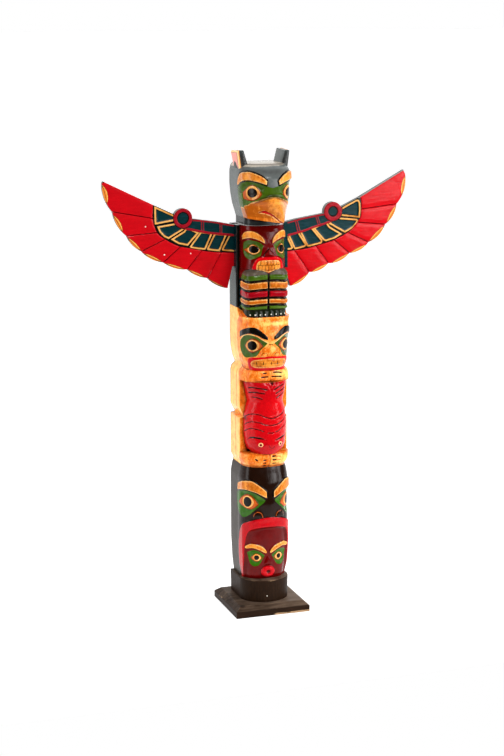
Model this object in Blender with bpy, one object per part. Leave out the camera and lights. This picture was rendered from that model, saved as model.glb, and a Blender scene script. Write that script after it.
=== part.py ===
"""Carved totem pole with two spread wings, standing on a block and a square board.

The figures face -Y, +X is to the right of someone looking at them, +Z is up, and the origin is
the centre of the board's underside. Profiles are lists of (height, size) points in millimetres,
because that is how a carver marks out a post.
"""
import math

import bmesh
import bpy
import numpy as np

MM = 0.001
GAP = 0.0003                 # air between pieces that touch

# Square board
BOARD_SIDE = 0.1665
BOARD_EDGE = 0.014           # height of its upright edge
BOARD_HEIGHT = 0.0235
BOARD_BEVEL = 0.012          # how far the sloping edge runs in

# Block between board and post: a log split at the back, with flat sawn sides
BLOCK_TOP = 0.0715
BLOCK_HALF = 0.0545
BLOCK_FOOT_HALF = 0.0535
BLOCK_BACK = 0.052
BLOCK_EDGE = 0.013           # the sawn sides end this far in front of the axis
BLOCK_REACH = 0.0615         # the round front reaches this far in front of the axis

# Post
SHOULDER = 842.0             # top of the winged figure's shoulders, mm
CHIN = 853.4                 # underside of the top figure's beak, mm
CROWN = 972.0                # top of its head, mm
FRONT_COLUMNS = 13           # mesh columns on each half of the carved front
ROW_STEP = 8.4               # tallest mesh row, mm

# How far behind the axis the flat back lies
BACK = [(71.8, 50.5), (SHOULDER, 50), (842.6, 46.5), (971, 46.5), (CROWN, 43)]
# Half width of the post across its sawn sides
FLANK = [(71.8, 48), (100, 51.5), (150, 54), (298, 54), (317, 50.5), (326, 47.5), (338, 53),
         (345, 53.5), (428, 53.5), (430, 44), (450, 53.5), (525, 53.5), (534, 51), (540.5, 43),
         (556, 49), (575, 52.5), (600, 54), (SHOULDER, 53.5), (842.6, 40), (853, 40),
         (CHIN, 39.5), (862, 41.5), (885, 48.5), (905, 52), (925, 54), (955, 54), (966, 51.5), (CROWN, 46)]
# How far in front of the axis the sawn sides end
EDGE = [(71.8, 2), (218, 4), (300, 4), (326, 6), (335, 10), (353, 14), (354, 20), (511, 20),
        (512.5, 14), (538, 10), (541, 6), (600, 5), (640, 8), (650, 18), (656, 15), (665, 6),
        (667, 4), (SHOULDER, 4), (842.6, 10), (853, 10), (CHIN, 14), (890, 16), (CROWN, 16)]
# Heights where the section steps in or out, kept as mesh rows however close they lie
LEDGES = {353.6, 430, 511.4, 512, 650, 650.6, SHOULDER, 842.6, CHIN, CROWN}
# Half width of the carved front, where it is narrower than the sawn sides
FISH = [(353.6, 31), (362, 39), (376, 44), (400, 46.5), (425, 46.5), (450, 43), (467, 38.5),
        (485, 42), (505, 46), (511.4, 46.5)]
BIRD = [(650.6, 45), (665, 46), (667, 48), (742, 48), (748, 46.5), (SHOULDER, 46.5)]
# How far the carved front reaches before the axis
REACH = [(71.8, 45), (78, 49), (100, 51), (150, 53), (200, 55), (218, 57), (262, 63), (290, 60),
         (308, 56), (320, 51.5), (326, 50), (331, 57), (345, 58.5), (353, 56), (353.6, 59),
         (362, 64), (376, 69), (425, 70), (450, 68.5), (467, 67), (485, 68.5), (505, 70),
         (511.4, 66), (512, 61), (518, 65), (533, 65), (538, 61), (541, 58), (543, 62),
         (550, 67), (568, 67), (580, 69), (600, 71), (625, 68), (645, 63), (650, 60),
         (650.6, 54), (665, 51), (667, 54), (700, 56), (738, 57), (744, 54), (752, 56),
         (765, 58.5), (780, 59), (796, 58), (806, 55), (830, 52), (838, 49), (SHOULDER, 45),
         (842.6, 42), (853, 42), (CHIN, 46), (862, 51), (870, 60), (885, 82), (905, 85), (930, 86),
         (945, 84), (957, 78), (965, 70), (970, 60), (CROWN, 50)]
# Exponent of the front's rounding: 2 is an ellipse, larger is squarer
SQUARENESS = [(71.8, 2.6), (200, 2.6), (262, 2.4), (340, 2.6), (353, 2.6), (353.6, 2.2),
              (511.4, 2.2), (512, 2.6), (600, 2.4), (645, 2.9), (650.6, 3.5), (667, 5), (742, 5),
              (750, 2.8), (SHOULDER, 2.4), (842.6, 2.2), (853, 2.2), (CHIN, 3.4), (866, 3.2),
              (885, 2.4), (CROWN, 2.4)]
# Hooked beak: reach of its ridge, and how pointed it is seen from above
BEAK_RIDGE = [(CHIN, 150), (856, 154), (868, 156), (875, 152), (882, 145), (890, 135), (898, 123),
              (904, 107), (908, 80)]
BEAK_HALF = [(CHIN, 41), (870, 43), (890, 46)]
BEAK_SQUARENESS = [(CHIN, 1.08), (870, 1.15), (890, 1.4)]
BEAK_EDGE = 38.0
BEAK_FILLET = 5.0
BEAK_DROP = 17.0             # the beak's upper line falls this much from the middle to the cheek

# Ears: upright fins along the sides of the head, leaning outwards
EAR_FOOT = 0.955
EAR_TIP = (1.000, 0.9965)     # at the front and at the back
EAR_FOOT_X = (0.032, 0.0520)
EAR_TIP_X = (0.0498, 0.0563)
EAR_FOOT_Y = (-0.033, 0.0225)
EAR_TIP_Y = (-0.031, 0.029)

# Wings: flat boards in grooves in the post's sides
WING_FRONT = 0.0145          # the wings' front face lies this far behind the axis
WING_THICK = 0.018           # at the root
WING_TIP_THICK = 0.0095      # the back face slopes so that the tip is thinner
WING_ROOT = 0.0415           # inner end of the wing's tongue in the groove
GROOVE_FLOOR = 0.7515
WING_TOP = [(41.5, 838.2), (57, 840.8), (86.5, 847.0), (146, 856.3)]
WING_BEYOND_DISC = [(191, 870.4), (228.5, 888.0)]
WING_DISC_RADIUS = 20.5
# The two boards were cut by hand and differ a little: left-hand values first
WING_DISC = {-1: (165.5, 858.3), 1: (170.0, 860.3)}
WING_TIP = {-1: [(336.0, 940.8), (338.5, 935.8)], 1: [(332.5, 945.2), (337.0, 935.8)]}
WING_NOTCHES = {
    -1: [(317.1, 877.1), (287.6, 825.9), (256.0, 792.1), (209.2, 767.0), (156.8, 750.0),
         (112.8, 729.5), (68.4, 705.3)],
    1: [(317.6, 871.3), (291.1, 827.8), (252.7, 790.5), (208.4, 768.6), (159.8, 748.6),
        (115.9, 731.3), (72.5, 703.4)],
}
WING_SCALLOP = {-1: 0.095, 1: 0.125}     # how far a feather's end bulges, as part of its chord
FEATHER_ARC = [(229.5, 858), (223, 832), (203, 812.5), (170, 797.5), (127, 786.5), (81, 781)]
FEATHER_GROOVE = 0.0025      # width and depth of the grooves between feathers


def along(profile, height):
    """Value of a profile at a height, straight between its points."""
    heights, values = zip(*profile)
    return np.interp(height, heights, values)


def smooth(value, low, high):
    """Soft step from 0 at low to 1 at high."""
    t = np.clip((value - low) / (high - low), 0.0, 1.0)
    return t * t * (3.0 - 2.0 * t)


def arched(t, start, peak, end, middle=0.5):
    """Parabola with the given values at t = 0, at t = middle and at t = 1."""
    bend = (peak - start - (end - start) * middle) / (middle * (middle - 1.0))
    return start + (end - start - bend) * t + bend * t * t


# ---- carving on the unrolled front: s is measured round the post from its front, z is the height


def brow(s, z, inner, peak, outer, width, middle=0.45):
    """Raised brow whose middle line passes three (s, z) points, on both sides of the face."""
    t = (np.abs(s) - inner[0]) / (outer[0] - inner[0])
    line = arched(np.clip(t, 0, 1), inner[1], peak, outer[1], middle)
    across = 1.0 - smooth(np.abs(z - line), width * 0.3, width * 0.75)
    ends = smooth(t, -0.08, 0.08) * (1.0 - smooth(t, 0.92, 1.08)) * (1.0 - 0.6 * smooth(t, 0.6, 1.0))
    return across * ends


def hollow(s, z, inner, outer, rise, fall, fade=0.0):
    """Eye socket between two curves that meet at both corners; fade makes its outer end shallower."""
    t = np.clip((np.abs(s) - inner[0]) / (outer[0] - inner[0]), 0.0, 1.0)
    line = inner[1] + (outer[1] - inner[1]) * t
    fullness = np.sin(math.pi * t ** 0.8) ** 0.7
    height = np.where(z > line, rise, fall) * fullness + 0.01
    inside = (1.0 - smooth(np.abs(z - line) / height, 0.7, 1.1)) * (t > 0.0) * (t < 1.0)
    return inside * (1.0 - fade * smooth(t, 0.45, 0.85))


def dome(s, z, centre, half, top):
    """Rounded boss, soft towards its rim."""
    far = np.hypot((s - centre[0]) / half, (z - centre[1]) / top)
    return 1.0 - smooth(far, 0.35, 1.0)


def whale(s, z):
    """Lowest figure: brows, hollow eyes and a broad open mouth with a small face inside."""
    d = 3.5 * brow(s, z, (8, 264), 287, (88, 274), 16)
    d -= 5.5 * hollow(s, z, (8, 251), (88, 247), 25, 34)
    d += 4.0 * dome(np.abs(s), z, (50, 250), 17, 15)
    d += 3.0 * dome(np.abs(s), z, (23, 217), 14, 12)
    mouth_top = 199.0 - 0.0075 * s * s
    side = smooth(np.abs(s), 52, 60) * (1.0 - smooth(np.abs(s), 76, 84)) * (z < mouth_top)
    arch = 1.0 - smooth(np.abs(z - mouth_top), 6.0, 13.0)
    d += 2.5 * np.maximum(side, arch * (np.abs(s) < 70))
    d -= 4.0 * smooth(mouth_top - z, 8, 16) * (1.0 - smooth(np.abs(s), 48, 56))
    d += 3.0 * brow(s, z, (5, 133), 146, (53, 143), 9)
    d += 3.5 * dome(s, z, (0, 113), 12, 14) + 5.0 * dome(s, z, (0, 90), 17, 13)
    return d


def bear(s, z):
    """Middle figure: broad face, folded arms, and paws that hold a fish head down."""
    d = 3.0 * brow(s, z, (7, 608), 622, (86, 610), 13)
    d -= 4.0 * hollow(s, z, (7, 594), (86, 588), 19, 24, 0.8)
    d += 4.0 * dome(np.abs(s), z, (41, 592), 15, 14)
    d += 4.5 * dome(s, z, (0, 580), 26, 17)
    d += 2.0 * smooth(np.abs(s), 66, 72) * (1.0 - smooth(np.abs(s), 84, 90)) * (z > 357) * (z < 508)
    return d


def bird(s, z):
    """Winged figure: face with a toothed mouth above a pair of banded legs."""
    d = 2.5 * brow(s, z, (7, 812), 826, (62, 820), 11)
    d -= 3.5 * hollow(s, z, (6, 801), (62, 795), 16, 22)
    d += 3.5 * dome(np.abs(s), z, (32, 796), 13, 12)
    d += 4.0 * dome(s, z, (0, 786), 14, 14) + 2.5 * dome(s, z, (0, 764), 34, 17)
    d -= 4.0 * (1.0 - smooth(np.abs(s), 1.0, 5.0)) * smooth(z, 664, 670) * (1.0 - smooth(z, 742, 748))
    return d


def head(s, z):
    """Top figure: brows over hollow eyes."""
    d = 3.5 * brow(s, z, (12, 934), 951, (92, 936), 16)
    d -= 5.0 * hollow(s, z, (6, 914), (92, 910), 24, 26)
    d += 4.0 * dome(np.abs(s), z, (46, 915), 18, 14)
    return d


FIGURES = [(71.8, 324, whale), (324, 650.3, bear), (667, SHOULDER, bird), (888, CROWN, head)]


# ---- the post


def column_places():
    """Fractions of the half width, spaced evenly along a typical front."""
    x = np.sin(np.linspace(0, math.pi / 2, 400)) ** (2 / 2.4)
    y = np.cos(np.linspace(0, math.pi / 2, 400)) ** (2 / 2.4)
    run = np.concatenate([[0], np.cumsum(np.hypot(np.diff(x), np.diff(y)))])
    half = np.interp(np.linspace(0, run[-1], FRONT_COLUMNS + 1), run, x)
    return np.concatenate([-half[:0:-1], half])


PLACES = column_places()


def rounded(place, edge, reach, squareness):
    """Depth of a rounded front at a fraction of its half width."""
    return edge + (reach - edge) * (1.0 - np.abs(place) ** squareness) ** (1.0 / squareness)


def front_half(height):
    """Half width of the carved front."""
    for profile in (FISH, BIRD):
        if profile[0][0] - 0.3 <= height <= profile[-1][0]:
            return along(profile, height)
    return along(FLANK, height)


def blended(first, second, fillet):
    """Larger of two depths, with a fillet where they cross."""
    return 0.5 * (first + second + np.sqrt((first - second) ** 2 + fillet ** 2)) - 0.25 * fillet


def beak_depth(x, height):
    """Depth of the hooked beak at a place across the front."""
    half = along(BEAK_HALF, height)
    place = np.clip(np.abs(x) / half, 0.0, 1.0)
    ridge = along(BEAK_RIDGE + [(920, 0)], height + BEAK_DROP * place ** 1.5)
    return rounded(place, BEAK_EDGE, np.maximum(ridge, BEAK_EDGE), along(BEAK_SQUARENESS, height))


def section(height):
    """Closed ring of points round the post at one height, in millimetres."""
    flank = along(FLANK, height)
    edge = along(EDGE, height)
    x = front_half(height) * PLACES
    depth = rounded(PLACES, edge, along(REACH, height), along(SQUARENESS, height))
    step = np.hypot(np.diff(x), np.diff(depth))
    s = np.concatenate([[0], np.cumsum(step)])
    s = s - s[FRONT_COLUMNS]
    for low, high, carve in FIGURES:
        if low <= height <= high:
            out = carve(s, np.full_like(s, height)) * (1.0 - smooth(np.abs(PLACES), 0.93, 1.0))
            across, inwards = np.gradient(depth), np.gradient(x)
            size = np.hypot(across, inwards)
            x = x - out * across / size
            depth = depth + out * inwards / size
    if CHIN <= height < 912:
        depth = blended(depth, beak_depth(x, height), BEAK_FILLET)
    back = along(BACK, height)
    mid = 0.5 * (back - edge)
    side = [(flank, edge - 1.5), (flank, -mid), (flank, -back)]
    ring = [(a, b) for a, b in zip(x, depth)] + side + [(0.0, -back)]
    ring += [(-a, b) for a, b in reversed(side)]
    return [(a * MM, -b * MM, height * MM) for a, b in ring]


def row_heights():
    """Heights of the mesh rows: every profile point, with rows between that are at most a step apart."""
    marks = set()
    for profile in (FLANK, EDGE, FISH, BIRD, REACH, BEAK_RIDGE):
        marks.update(h for h, _ in profile if 71.8 <= h <= CROWN)
    heights = [71.8]
    for mark in sorted(marks):
        space = mark - heights[-1]
        if space < 0.3:
            continue
        parts = max(1, math.ceil(space / ROW_STEP))
        if space < 2.2 and parts == 1 and mark not in LEDGES:
            continue
        heights += [heights[-1] + space * (k + 1) / parts for k in range(parts)]
    return heights


def loft(name, rings):
    """Closed solid through rings of equally many points."""
    mesh = bmesh.new()
    rows = [[mesh.verts.new(point) for point in ring] for ring in rings]
    count = len(rings[0])
    for low, high in zip(rows, rows[1:]):
        for i in range(count):
            j = (i + 1) % count
            mesh.faces.new((low[i], low[j], high[j], high[i]))
    mesh.faces.new(list(reversed(rows[0])))
    mesh.faces.new(rows[-1])
    return as_object(name, mesh)


def as_object(name, mesh):
    """Object from a bmesh, with its faces pointing out."""
    bmesh.ops.recalc_face_normals(mesh, faces=mesh.faces)
    data = bpy.data.meshes.new(name)
    mesh.to_mesh(data)
    mesh.free()
    return bpy.data.objects.new(name, data)


def prism(name, corners_low, corners_high):
    """Solid between two outlines with equally many corners."""
    return loft(name, [corners_low, corners_high])


def material(name, colour, roughness):
    """Plain painted or stained wood."""
    made = bpy.data.materials.new(name)
    made.use_nodes = True
    shader = made.node_tree.nodes["Principled BSDF"]
    shader.inputs["Base Color"].default_value = (*colour, 1.0)
    shader.inputs["Roughness"].default_value = roughness
    shader.inputs["Metallic"].default_value = 0.0
    return made


def cut(target, tool, operation):
    """Exact Boolean of target with tool, which becomes a hidden cutter."""
    step = target.modifiers.new(tool.name, "BOOLEAN")
    step.operation = operation
    step.solver = "EXACT"
    step.object = tool
    tool.hide_render = True
    tool.display_type = "WIRE"
    cutters.objects.link(tool)


def ear_ring(side, across, depth, height):
    """Four corners of an ear at its foot or its tip."""
    corners = [(0, 0), (1, 0), (1, 1), (0, 1)]
    return [(side * across[i], depth[j], height[j]) for i, j in corners]


def build_post():
    """Post with its figures, ears and the two grooves for the wings."""
    post = loft("totem_pole", [section(h) for h in row_heights()])
    post.data.materials.append(material("painted_carving", (0.75, 0.38, 0.08), 0.35))
    for side in (-1, 1):
        foot = ear_ring(side, EAR_FOOT_X, EAR_FOOT_Y, (EAR_FOOT, EAR_FOOT))
        tip = ear_ring(side, EAR_TIP_X, EAR_TIP_Y, EAR_TIP)
        cut(post, prism("ear_%s" % NAMES[side], foot, tip), "UNION")
        near, far = WING_FRONT - GAP, WING_FRONT + WING_THICK + GAP
        inner, outer = WING_ROOT - GAP, 0.07
        corners = [(side * x, y) for x, y in ((inner, near), (outer, near), (outer, far), (inner, far))]
        low, high = ([(x, y, z) for x, y in corners] for z in (GROOVE_FLOOR - GAP, 0.848))
        cut(post, prism("groove_%s" % NAMES[side], low, high), "DIFFERENCE")
    return post


# ---- wings


def disc_arc(side):
    """Points of the disc that stands proud of the wing's upper edge, from the post outwards."""
    cx, cz = WING_DISC[side]
    first = math.atan2(WING_TOP[-1][1] - cz, WING_TOP[-1][0] - cx) % (2 * math.pi)
    last = math.atan2(WING_BEYOND_DISC[0][1] - cz, WING_BEYOND_DISC[0][0] - cx)
    angles = np.linspace(first, last, 15)
    return [(cx + WING_DISC_RADIUS * math.cos(a), cz + WING_DISC_RADIUS * math.sin(a)) for a in angles]


def scallops(side):
    """Rounded feather ends between the notches, from the tip down to the root."""
    points = []
    corners = [WING_TIP[side][-1]] + WING_NOTCHES[side]
    for (x0, z0), (x1, z1) in zip(corners, corners[1:]):
        for t in np.linspace(0, 1, 9)[:-1]:
            bulge = WING_SCALLOP[side] * math.sin(math.pi * t) ** 0.8
            points.append((x0 + (x1 - x0) * t - (z1 - z0) * bulge,
                           z0 + (z1 - z0) * t + (x1 - x0) * bulge))
    return points + [WING_NOTCHES[side][-1]]


def wing_outline(side):
    """Outline of a wing, from the post along its upper edge and back along the feathers, in mm."""
    floor = GROOVE_FLOOR / MM
    outline = WING_TOP[:-1] + disc_arc(side) + WING_BEYOND_DISC[1:] + WING_TIP[side][:1]
    return outline + scallops(side) + [(57.5, floor), (WING_ROOT / MM, floor)]


def build_wing(side):
    """Flat board with a scalloped edge, a round boss and grooves between the feathers."""
    outline = wing_outline(side)
    near = [(side * x * MM, WING_FRONT, z * MM) for x, z in outline]
    slope = (WING_THICK - WING_TIP_THICK) / (WING_TIP[side][-1][0] * MM - WING_ROOT)
    far = [(x, y + WING_THICK - slope * (abs(x) - WING_ROOT), z) for x, y, z in near]
    wing = prism("wing_%s" % NAMES[side], near, far)
    wing.data.materials.append(material("wing_paint_%s" % NAMES[side], (0.75, 0.02, 0.04), 0.35))
    for number, (inner, outer) in enumerate(zip(FEATHER_ARC, WING_NOTCHES[side])):
        cut(wing, groove_cutter("feather_%s_%d" % (NAMES[side], number), side, inner, outer), "DIFFERENCE")
    return wing


def groove_cutter(name, side, inner, outer):
    """Long wedge that cuts a V groove from a notch of the edge towards the wing's middle."""
    along_x, along_z = outer[0] - inner[0], outer[1] - inner[1]
    length = math.hypot(along_x, along_z)
    ux, uz = along_x / length, along_z / length
    end = (outer[0] + 4.0 * ux, outer[1] + 4.0 * uz)
    half = FEATHER_GROOVE / MM * 0.75
    rings = []
    for x, z in (inner, end):
        wide = [(x - uz * half, z + ux * half), (x + uz * half, z - ux * half)]
        ring = [(side * a * MM, WING_FRONT - FEATHER_GROOVE * 0.5, b * MM) for a, b in wide]
        ring.append((side * x * MM, WING_FRONT + FEATHER_GROOVE, z * MM))
        rings.append(ring)
    return loft(name, rings)


# ---- block and board


def block_ring(half, height):
    """Outline of the block: flat back and sides, round front."""
    angles = np.linspace(-math.pi / 2, math.pi / 2, 33)
    ring = [(half * math.sin(a), -BLOCK_EDGE - (BLOCK_REACH - BLOCK_EDGE) * math.cos(a), height)
            for a in angles]
    return ring + [(half, BLOCK_BACK, height), (-half, BLOCK_BACK, height)]


def build_block():
    """Short D-shaped block under the post."""
    low, high = BOARD_HEIGHT + GAP, BLOCK_TOP
    block = prism("plinth_block", block_ring(BLOCK_FOOT_HALF, low), block_ring(BLOCK_HALF, high))
    block.data.materials.append(material("block_stain", (0.05, 0.035, 0.025), 0.5))
    return block


def build_board():
    """Square board with a wide sloping edge round its top."""
    bpy.ops.mesh.primitive_cube_add(size=1.0, location=(0.0, 0.0, 0.5 * BOARD_EDGE))
    cube = bpy.context.object
    mesh = bmesh.new()
    mesh.from_mesh(cube.data)
    bmesh.ops.scale(mesh, vec=(BOARD_SIDE, BOARD_SIDE, BOARD_EDGE), verts=mesh.verts)
    top = [face for face in mesh.faces if face.normal.z > 0.5]
    raised = bmesh.ops.extrude_face_region(mesh, geom=top)["geom"]
    bmesh.ops.delete(mesh, geom=top, context="FACES")
    shrink = 1.0 - 2.0 * BOARD_BEVEL / BOARD_SIDE
    verts = [item for item in raised if isinstance(item, bmesh.types.BMVert)]
    bmesh.ops.scale(mesh, vec=(shrink, shrink, 1.0), verts=verts)
    bmesh.ops.translate(mesh, vec=(0.0, 0.0, BOARD_HEIGHT - BOARD_EDGE), verts=verts)
    bmesh.ops.recalc_face_normals(mesh, faces=mesh.faces)
    mesh.to_mesh(cube.data)
    mesh.free()
    for used in list(cube.users_collection):
        used.objects.unlink(cube)
    cube.name = "base_plate"
    cube.data.materials.append(material("board_stain", (0.06, 0.045, 0.035), 0.5))
    return cube


NAMES = {-1: "left", 1: "right"}

for old in list(bpy.data.objects):
    bpy.data.objects.remove(old, do_unlink=True)
pieces = bpy.data.collections.new("totem_pole")
cutters = bpy.data.collections.new("cutters")
bpy.context.scene.collection.children.link(pieces)
bpy.context.scene.collection.children.link(cutters)

for piece in (build_post(), build_wing(-1), build_wing(1), build_block(), build_board()):
    pieces.objects.link(piece)
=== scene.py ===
import math
import bpy
import numpy as np
from mathutils import Matrix


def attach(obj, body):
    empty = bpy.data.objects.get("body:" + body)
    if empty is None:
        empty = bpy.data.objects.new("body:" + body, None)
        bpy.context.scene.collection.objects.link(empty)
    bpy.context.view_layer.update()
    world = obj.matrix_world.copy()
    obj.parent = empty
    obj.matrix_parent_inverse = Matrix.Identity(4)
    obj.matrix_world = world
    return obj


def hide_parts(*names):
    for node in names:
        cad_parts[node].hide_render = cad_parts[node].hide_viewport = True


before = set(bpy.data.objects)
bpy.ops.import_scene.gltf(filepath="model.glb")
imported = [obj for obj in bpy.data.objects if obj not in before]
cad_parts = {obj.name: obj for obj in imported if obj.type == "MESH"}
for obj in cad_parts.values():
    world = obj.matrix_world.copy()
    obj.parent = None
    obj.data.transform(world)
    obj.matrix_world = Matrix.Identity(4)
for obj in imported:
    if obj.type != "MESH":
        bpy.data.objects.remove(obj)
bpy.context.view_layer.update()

mm = 0.001               # drawings are in millimetres, meshes in metres
farOff = 9.0             # distances on the carving are not followed further than this, mm
print("frame loaded:", sorted(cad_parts))

# ---- camera and light

view = {
    "place": (-1.193, -3.607, 1.274),
    "turn": -18.02, "tilt": 90 - 11.39, "roll": -0.24,       # degrees
    "lens": 85.66, "sensor": 36.0,
}
studio = {
    # the floor is a sheet that ends in front of the stand; the room on that side is dark
    "floorHalf": 150.0, "floorFront": -0.5, "floorColour": (0.9, 0.9, 0.9), "floorGlow": 0.53,
    "backdrop": 1.2, "front": 0.02, "below": 0.0,
    # area lights: place, aim, width, height, watts
    "left": ((-2.7, 0.0, 1.3), (0, 0, 0.5), 0.8, 2.6, 40),
    "right": ((2.5, -1.7, 1.3), (0, 0, 0.5), 0.8, 2.4, 62),
    "face": ((0.1, -3.0, 2.9), (0, 0, 0.55), 1.0, 1.0, 80),
    "sheen": ((2.2, -3.7, 1.25), (0, 0, 0.7), 1.2, 1.6, 84),
}


def addCamera():
    # stands at the view's place and is turned about the vertical, tilted, then rolled
    data = bpy.data.cameras.new("camera")
    data.lens, data.sensor_width = view["lens"], view["sensor"]
    data.clip_end = 500
    camera = bpy.data.objects.new("camera", data)
    turn, tilt, roll = (math.radians(view[key]) for key in ("turn", "tilt", "roll"))
    camera.matrix_world = (Matrix.Translation(view["place"]) @ Matrix.Rotation(turn, 4, "Z")
                           @ Matrix.Rotation(tilt, 4, "X") @ Matrix.Rotation(roll, 4, "Z"))
    bpy.context.scene.collection.objects.link(camera)
    bpy.context.scene.camera = camera


def addAreaLight(name, place, aim, width, height, watts):
    # a soft box at place, turned so that its face looks at aim
    data = bpy.data.lights.new(name, "AREA")
    data.shape, data.size, data.size_y, data.energy = "RECTANGLE", width, height, watts
    lamp = bpy.data.objects.new(name, data)
    away = np.array(place) - np.array(aim)
    lamp.location = place
    lamp.rotation_euler = (math.atan2(math.hypot(away[0], away[1]), away[2]), 0,
                           math.atan2(away[0], -away[1]))
    bpy.context.scene.collection.objects.link(lamp)


# ---- shader maths


def put(tree, socket, value):
    # links a wire or an output to a socket, or sets the socket's own value
    value = value.socket if isinstance(value, Wire) else value
    if isinstance(value, bpy.types.NodeSocket):
        tree.links.new(value, socket)
    elif hasattr(socket.default_value, "__len__") and len(socket.default_value) == 4:
        socket.default_value = (*value, 1.0)
    else:
        socket.default_value = value


def addNode(tree, kind, settings=(), sockets=()):
    # adds any node: its settings first, then the values or links of its sockets, by name or place
    made = tree.nodes.new(kind)
    for key, value in dict(settings).items():
        setattr(made, key, value)
    for key, value in dict(sockets).items():
        put(tree, made.inputs[key], value)
    return made


class Wire:
    # a number that runs between nodes: + - * on it add the Math nodes
    def __init__(self, tree, socket):
        self.tree, self.socket = tree, socket

    def math(self, kind, *others):
        # one sum of this number, and of another where the kind takes two
        made = addNode(self.tree, "ShaderNodeMath", {"operation": kind}, enumerate((self,) + others))
        return Wire(self.tree, made.outputs[0])

    def __add__(self, other):
        return self.math("ADD", other)

    def __sub__(self, other):
        return self.math("SUBTRACT", other)

    def __rsub__(self, other):
        return (self * -1.0) + other

    def __mul__(self, other):
        return self.math("MULTIPLY", other)

    __radd__, __rmul__ = __add__, __mul__

    def clamp(self):
        # kept from 0 to 1
        return self.math("MAXIMUM", 0.0).math("MINIMUM", 1.0)

    def step(self, low, high):
        # soft step from 0 at low to 1 at high, also downwards when low is the larger
        ends = (low, high, 0, 1) if low < high else (high, low, 1, 0)
        sockets = dict(zip(("From Min", "From Max", "To Min", "To Max"), ends))
        made = addNode(self.tree, "ShaderNodeMapRange", {"interpolation_type": "SMOOTHSTEP"},
                       {"Value": self, **sockets})
        return Wire(self.tree, made.outputs["Result"])


class Paint:
    # a material being mixed: gives wires for attributes and noises, and colour mixes
    def __init__(self, name):
        self.material = bpy.data.materials.new(name)
        self.material.use_nodes = True
        self.tree = self.material.node_tree
        self.shader = self.tree.nodes["Principled BSDF"]
        self.place = self.node("ShaderNodeTexCoord").outputs["Object"]

    def node(self, kind, settings=(), **sockets):
        # a node of this material
        return addNode(self.tree, kind, settings, sockets)

    def field(self, name):
        # a value stored on the mesh
        return Wire(self.tree, self.node("ShaderNodeAttribute", {"attribute_name": name}).outputs["Fac"])

    def axes(self, vector=None):
        # the three parts of a vector, which is the place on the object unless another is given
        parts = self.node("ShaderNodeSeparateXYZ", Vector=vector or self.place)
        return [Wire(self.tree, parts.outputs[axis]) for axis in "XYZ"]

    def noise(self, perMetre, stretch=(1, 1, 1), detail=3.0, rough=0.5, twist=0.0):
        # noise with so many bumps in a metre, stretched along the axes, as 0 to 1
        spread = self.node("ShaderNodeMapping", Vector=self.place, Scale=stretch)
        made = self.node("ShaderNodeTexNoise", Vector=spread.outputs[0], Scale=perMetre, Detail=detail,
                         Roughness=rough, Distortion=twist)
        return Wire(self.tree, made.outputs["Fac"])

    def spots(self, perMetre, stretch=(1, 1, 1)):
        # distance to scattered points, in cells
        spread = self.node("ShaderNodeMapping", Vector=self.place, Scale=stretch)
        made = self.node("ShaderNodeTexVoronoi", Vector=spread.outputs[0], Scale=perMetre)
        return Wire(self.tree, made.outputs["Distance"])

    def mix(self, amount, first, second, blend="MIX"):
        # from the first colour at 0 to the second at 1; the colour sockets have no names of their own
        settings = {"data_type": "RGBA", "blend_type": blend}
        made = addNode(self.tree, "ShaderNodeMix", settings, {0: amount, 6: first, 7: second})
        return made.outputs[2]

    def finish(self, colour, rough, height, depth, gloss):
        # colour and roughness vary, the bump comes from a height of so many metres, gloss is even
        bump = self.node("ShaderNodeBump", Height=height, Strength=1.0, Distance=depth)
        sockets = {"Base Color": colour, "Roughness": rough, "Normal": bump.outputs[0],
                   "Specular IOR Level": gloss}
        for key, value in sockets.items():
            put(self.tree, self.shader.inputs[key], value)
        return self.material


# ---- drawing on the carving: every shape is a distance in mm, negative inside the shape


def along(profile, height, low=None, high=None, blur=0.0):
    # value of a list of (height, value) points, straight between them, averaged over height +- blur
    marks, values = np.array(profile, float).T
    if not blur:
        return np.interp(height, marks, values)
    spread = [np.clip(height + step, low, high) for step in np.linspace(-blur, blur, 9)]
    return np.mean([np.interp(place, marks, values) for place in spread], axis=0)


def ease(value, low, high):
    # soft step: 0 at low, 1 at high, with level ends
    t = np.clip((value - low) / (high - low), 0.0, 1.0)
    return t * t * (3.0 - 2.0 * t)


def spline(points, steps=6):
    # smooth line through all its points: each stretch is a cubic that leaves a point in the
    # direction from the point before it to the point after it
    p = np.array(points, float)
    if len(p) < 3:
        return p
    p = np.vstack([2 * p[0] - p[1], p, 2 * p[-1] - p[-2]])
    t = np.linspace(0, 1, steps, endpoint=False)[:, None, None]
    a, b, c, d = p[:-3], p[1:-2], p[2:-1], p[3:]
    line = 0.5 * (2 * b + (c - a) * t + (2 * a - 5 * b + 4 * c - d) * t ** 2
                  + (3 * b - 3 * c + d - a) * t ** 3)
    return np.vstack([line.transpose(1, 0, 2).reshape(-1, 2), p[-2]])


def between(upper, lower):
    # closed outline whose upper and lower sides are smooth lines, both drawn the same way
    return np.vstack([spline(upper), spline(lower)[::-1]])


def isNear(line, s, z):
    # true inside the line's own box, widened by the distance that is followed
    low, high = line.min(0) - farOff, line.max(0) + farOff
    return (s > low[0]) & (s < high[0]) & (z > low[1]) & (z < high[1])


def lineGap(line, s, z, half=0.0):
    # distance to the nearest point of an open line, less half its width
    gap = np.full(s.shape, farOff)
    close = isNear(line, s, z)
    start, run = line[:-1], np.diff(line, axis=0)
    away = np.stack([s[close], z[close]], -1)[:, None] - start
    t = np.clip((away * run).sum(-1) / np.maximum((run ** 2).sum(-1), 1e-9), 0, 1)
    nearest = np.sqrt(((away - t[..., None] * run) ** 2).sum(-1)).min(1)
    gap[close] = np.minimum(nearest, farOff)
    return gap - half


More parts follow.
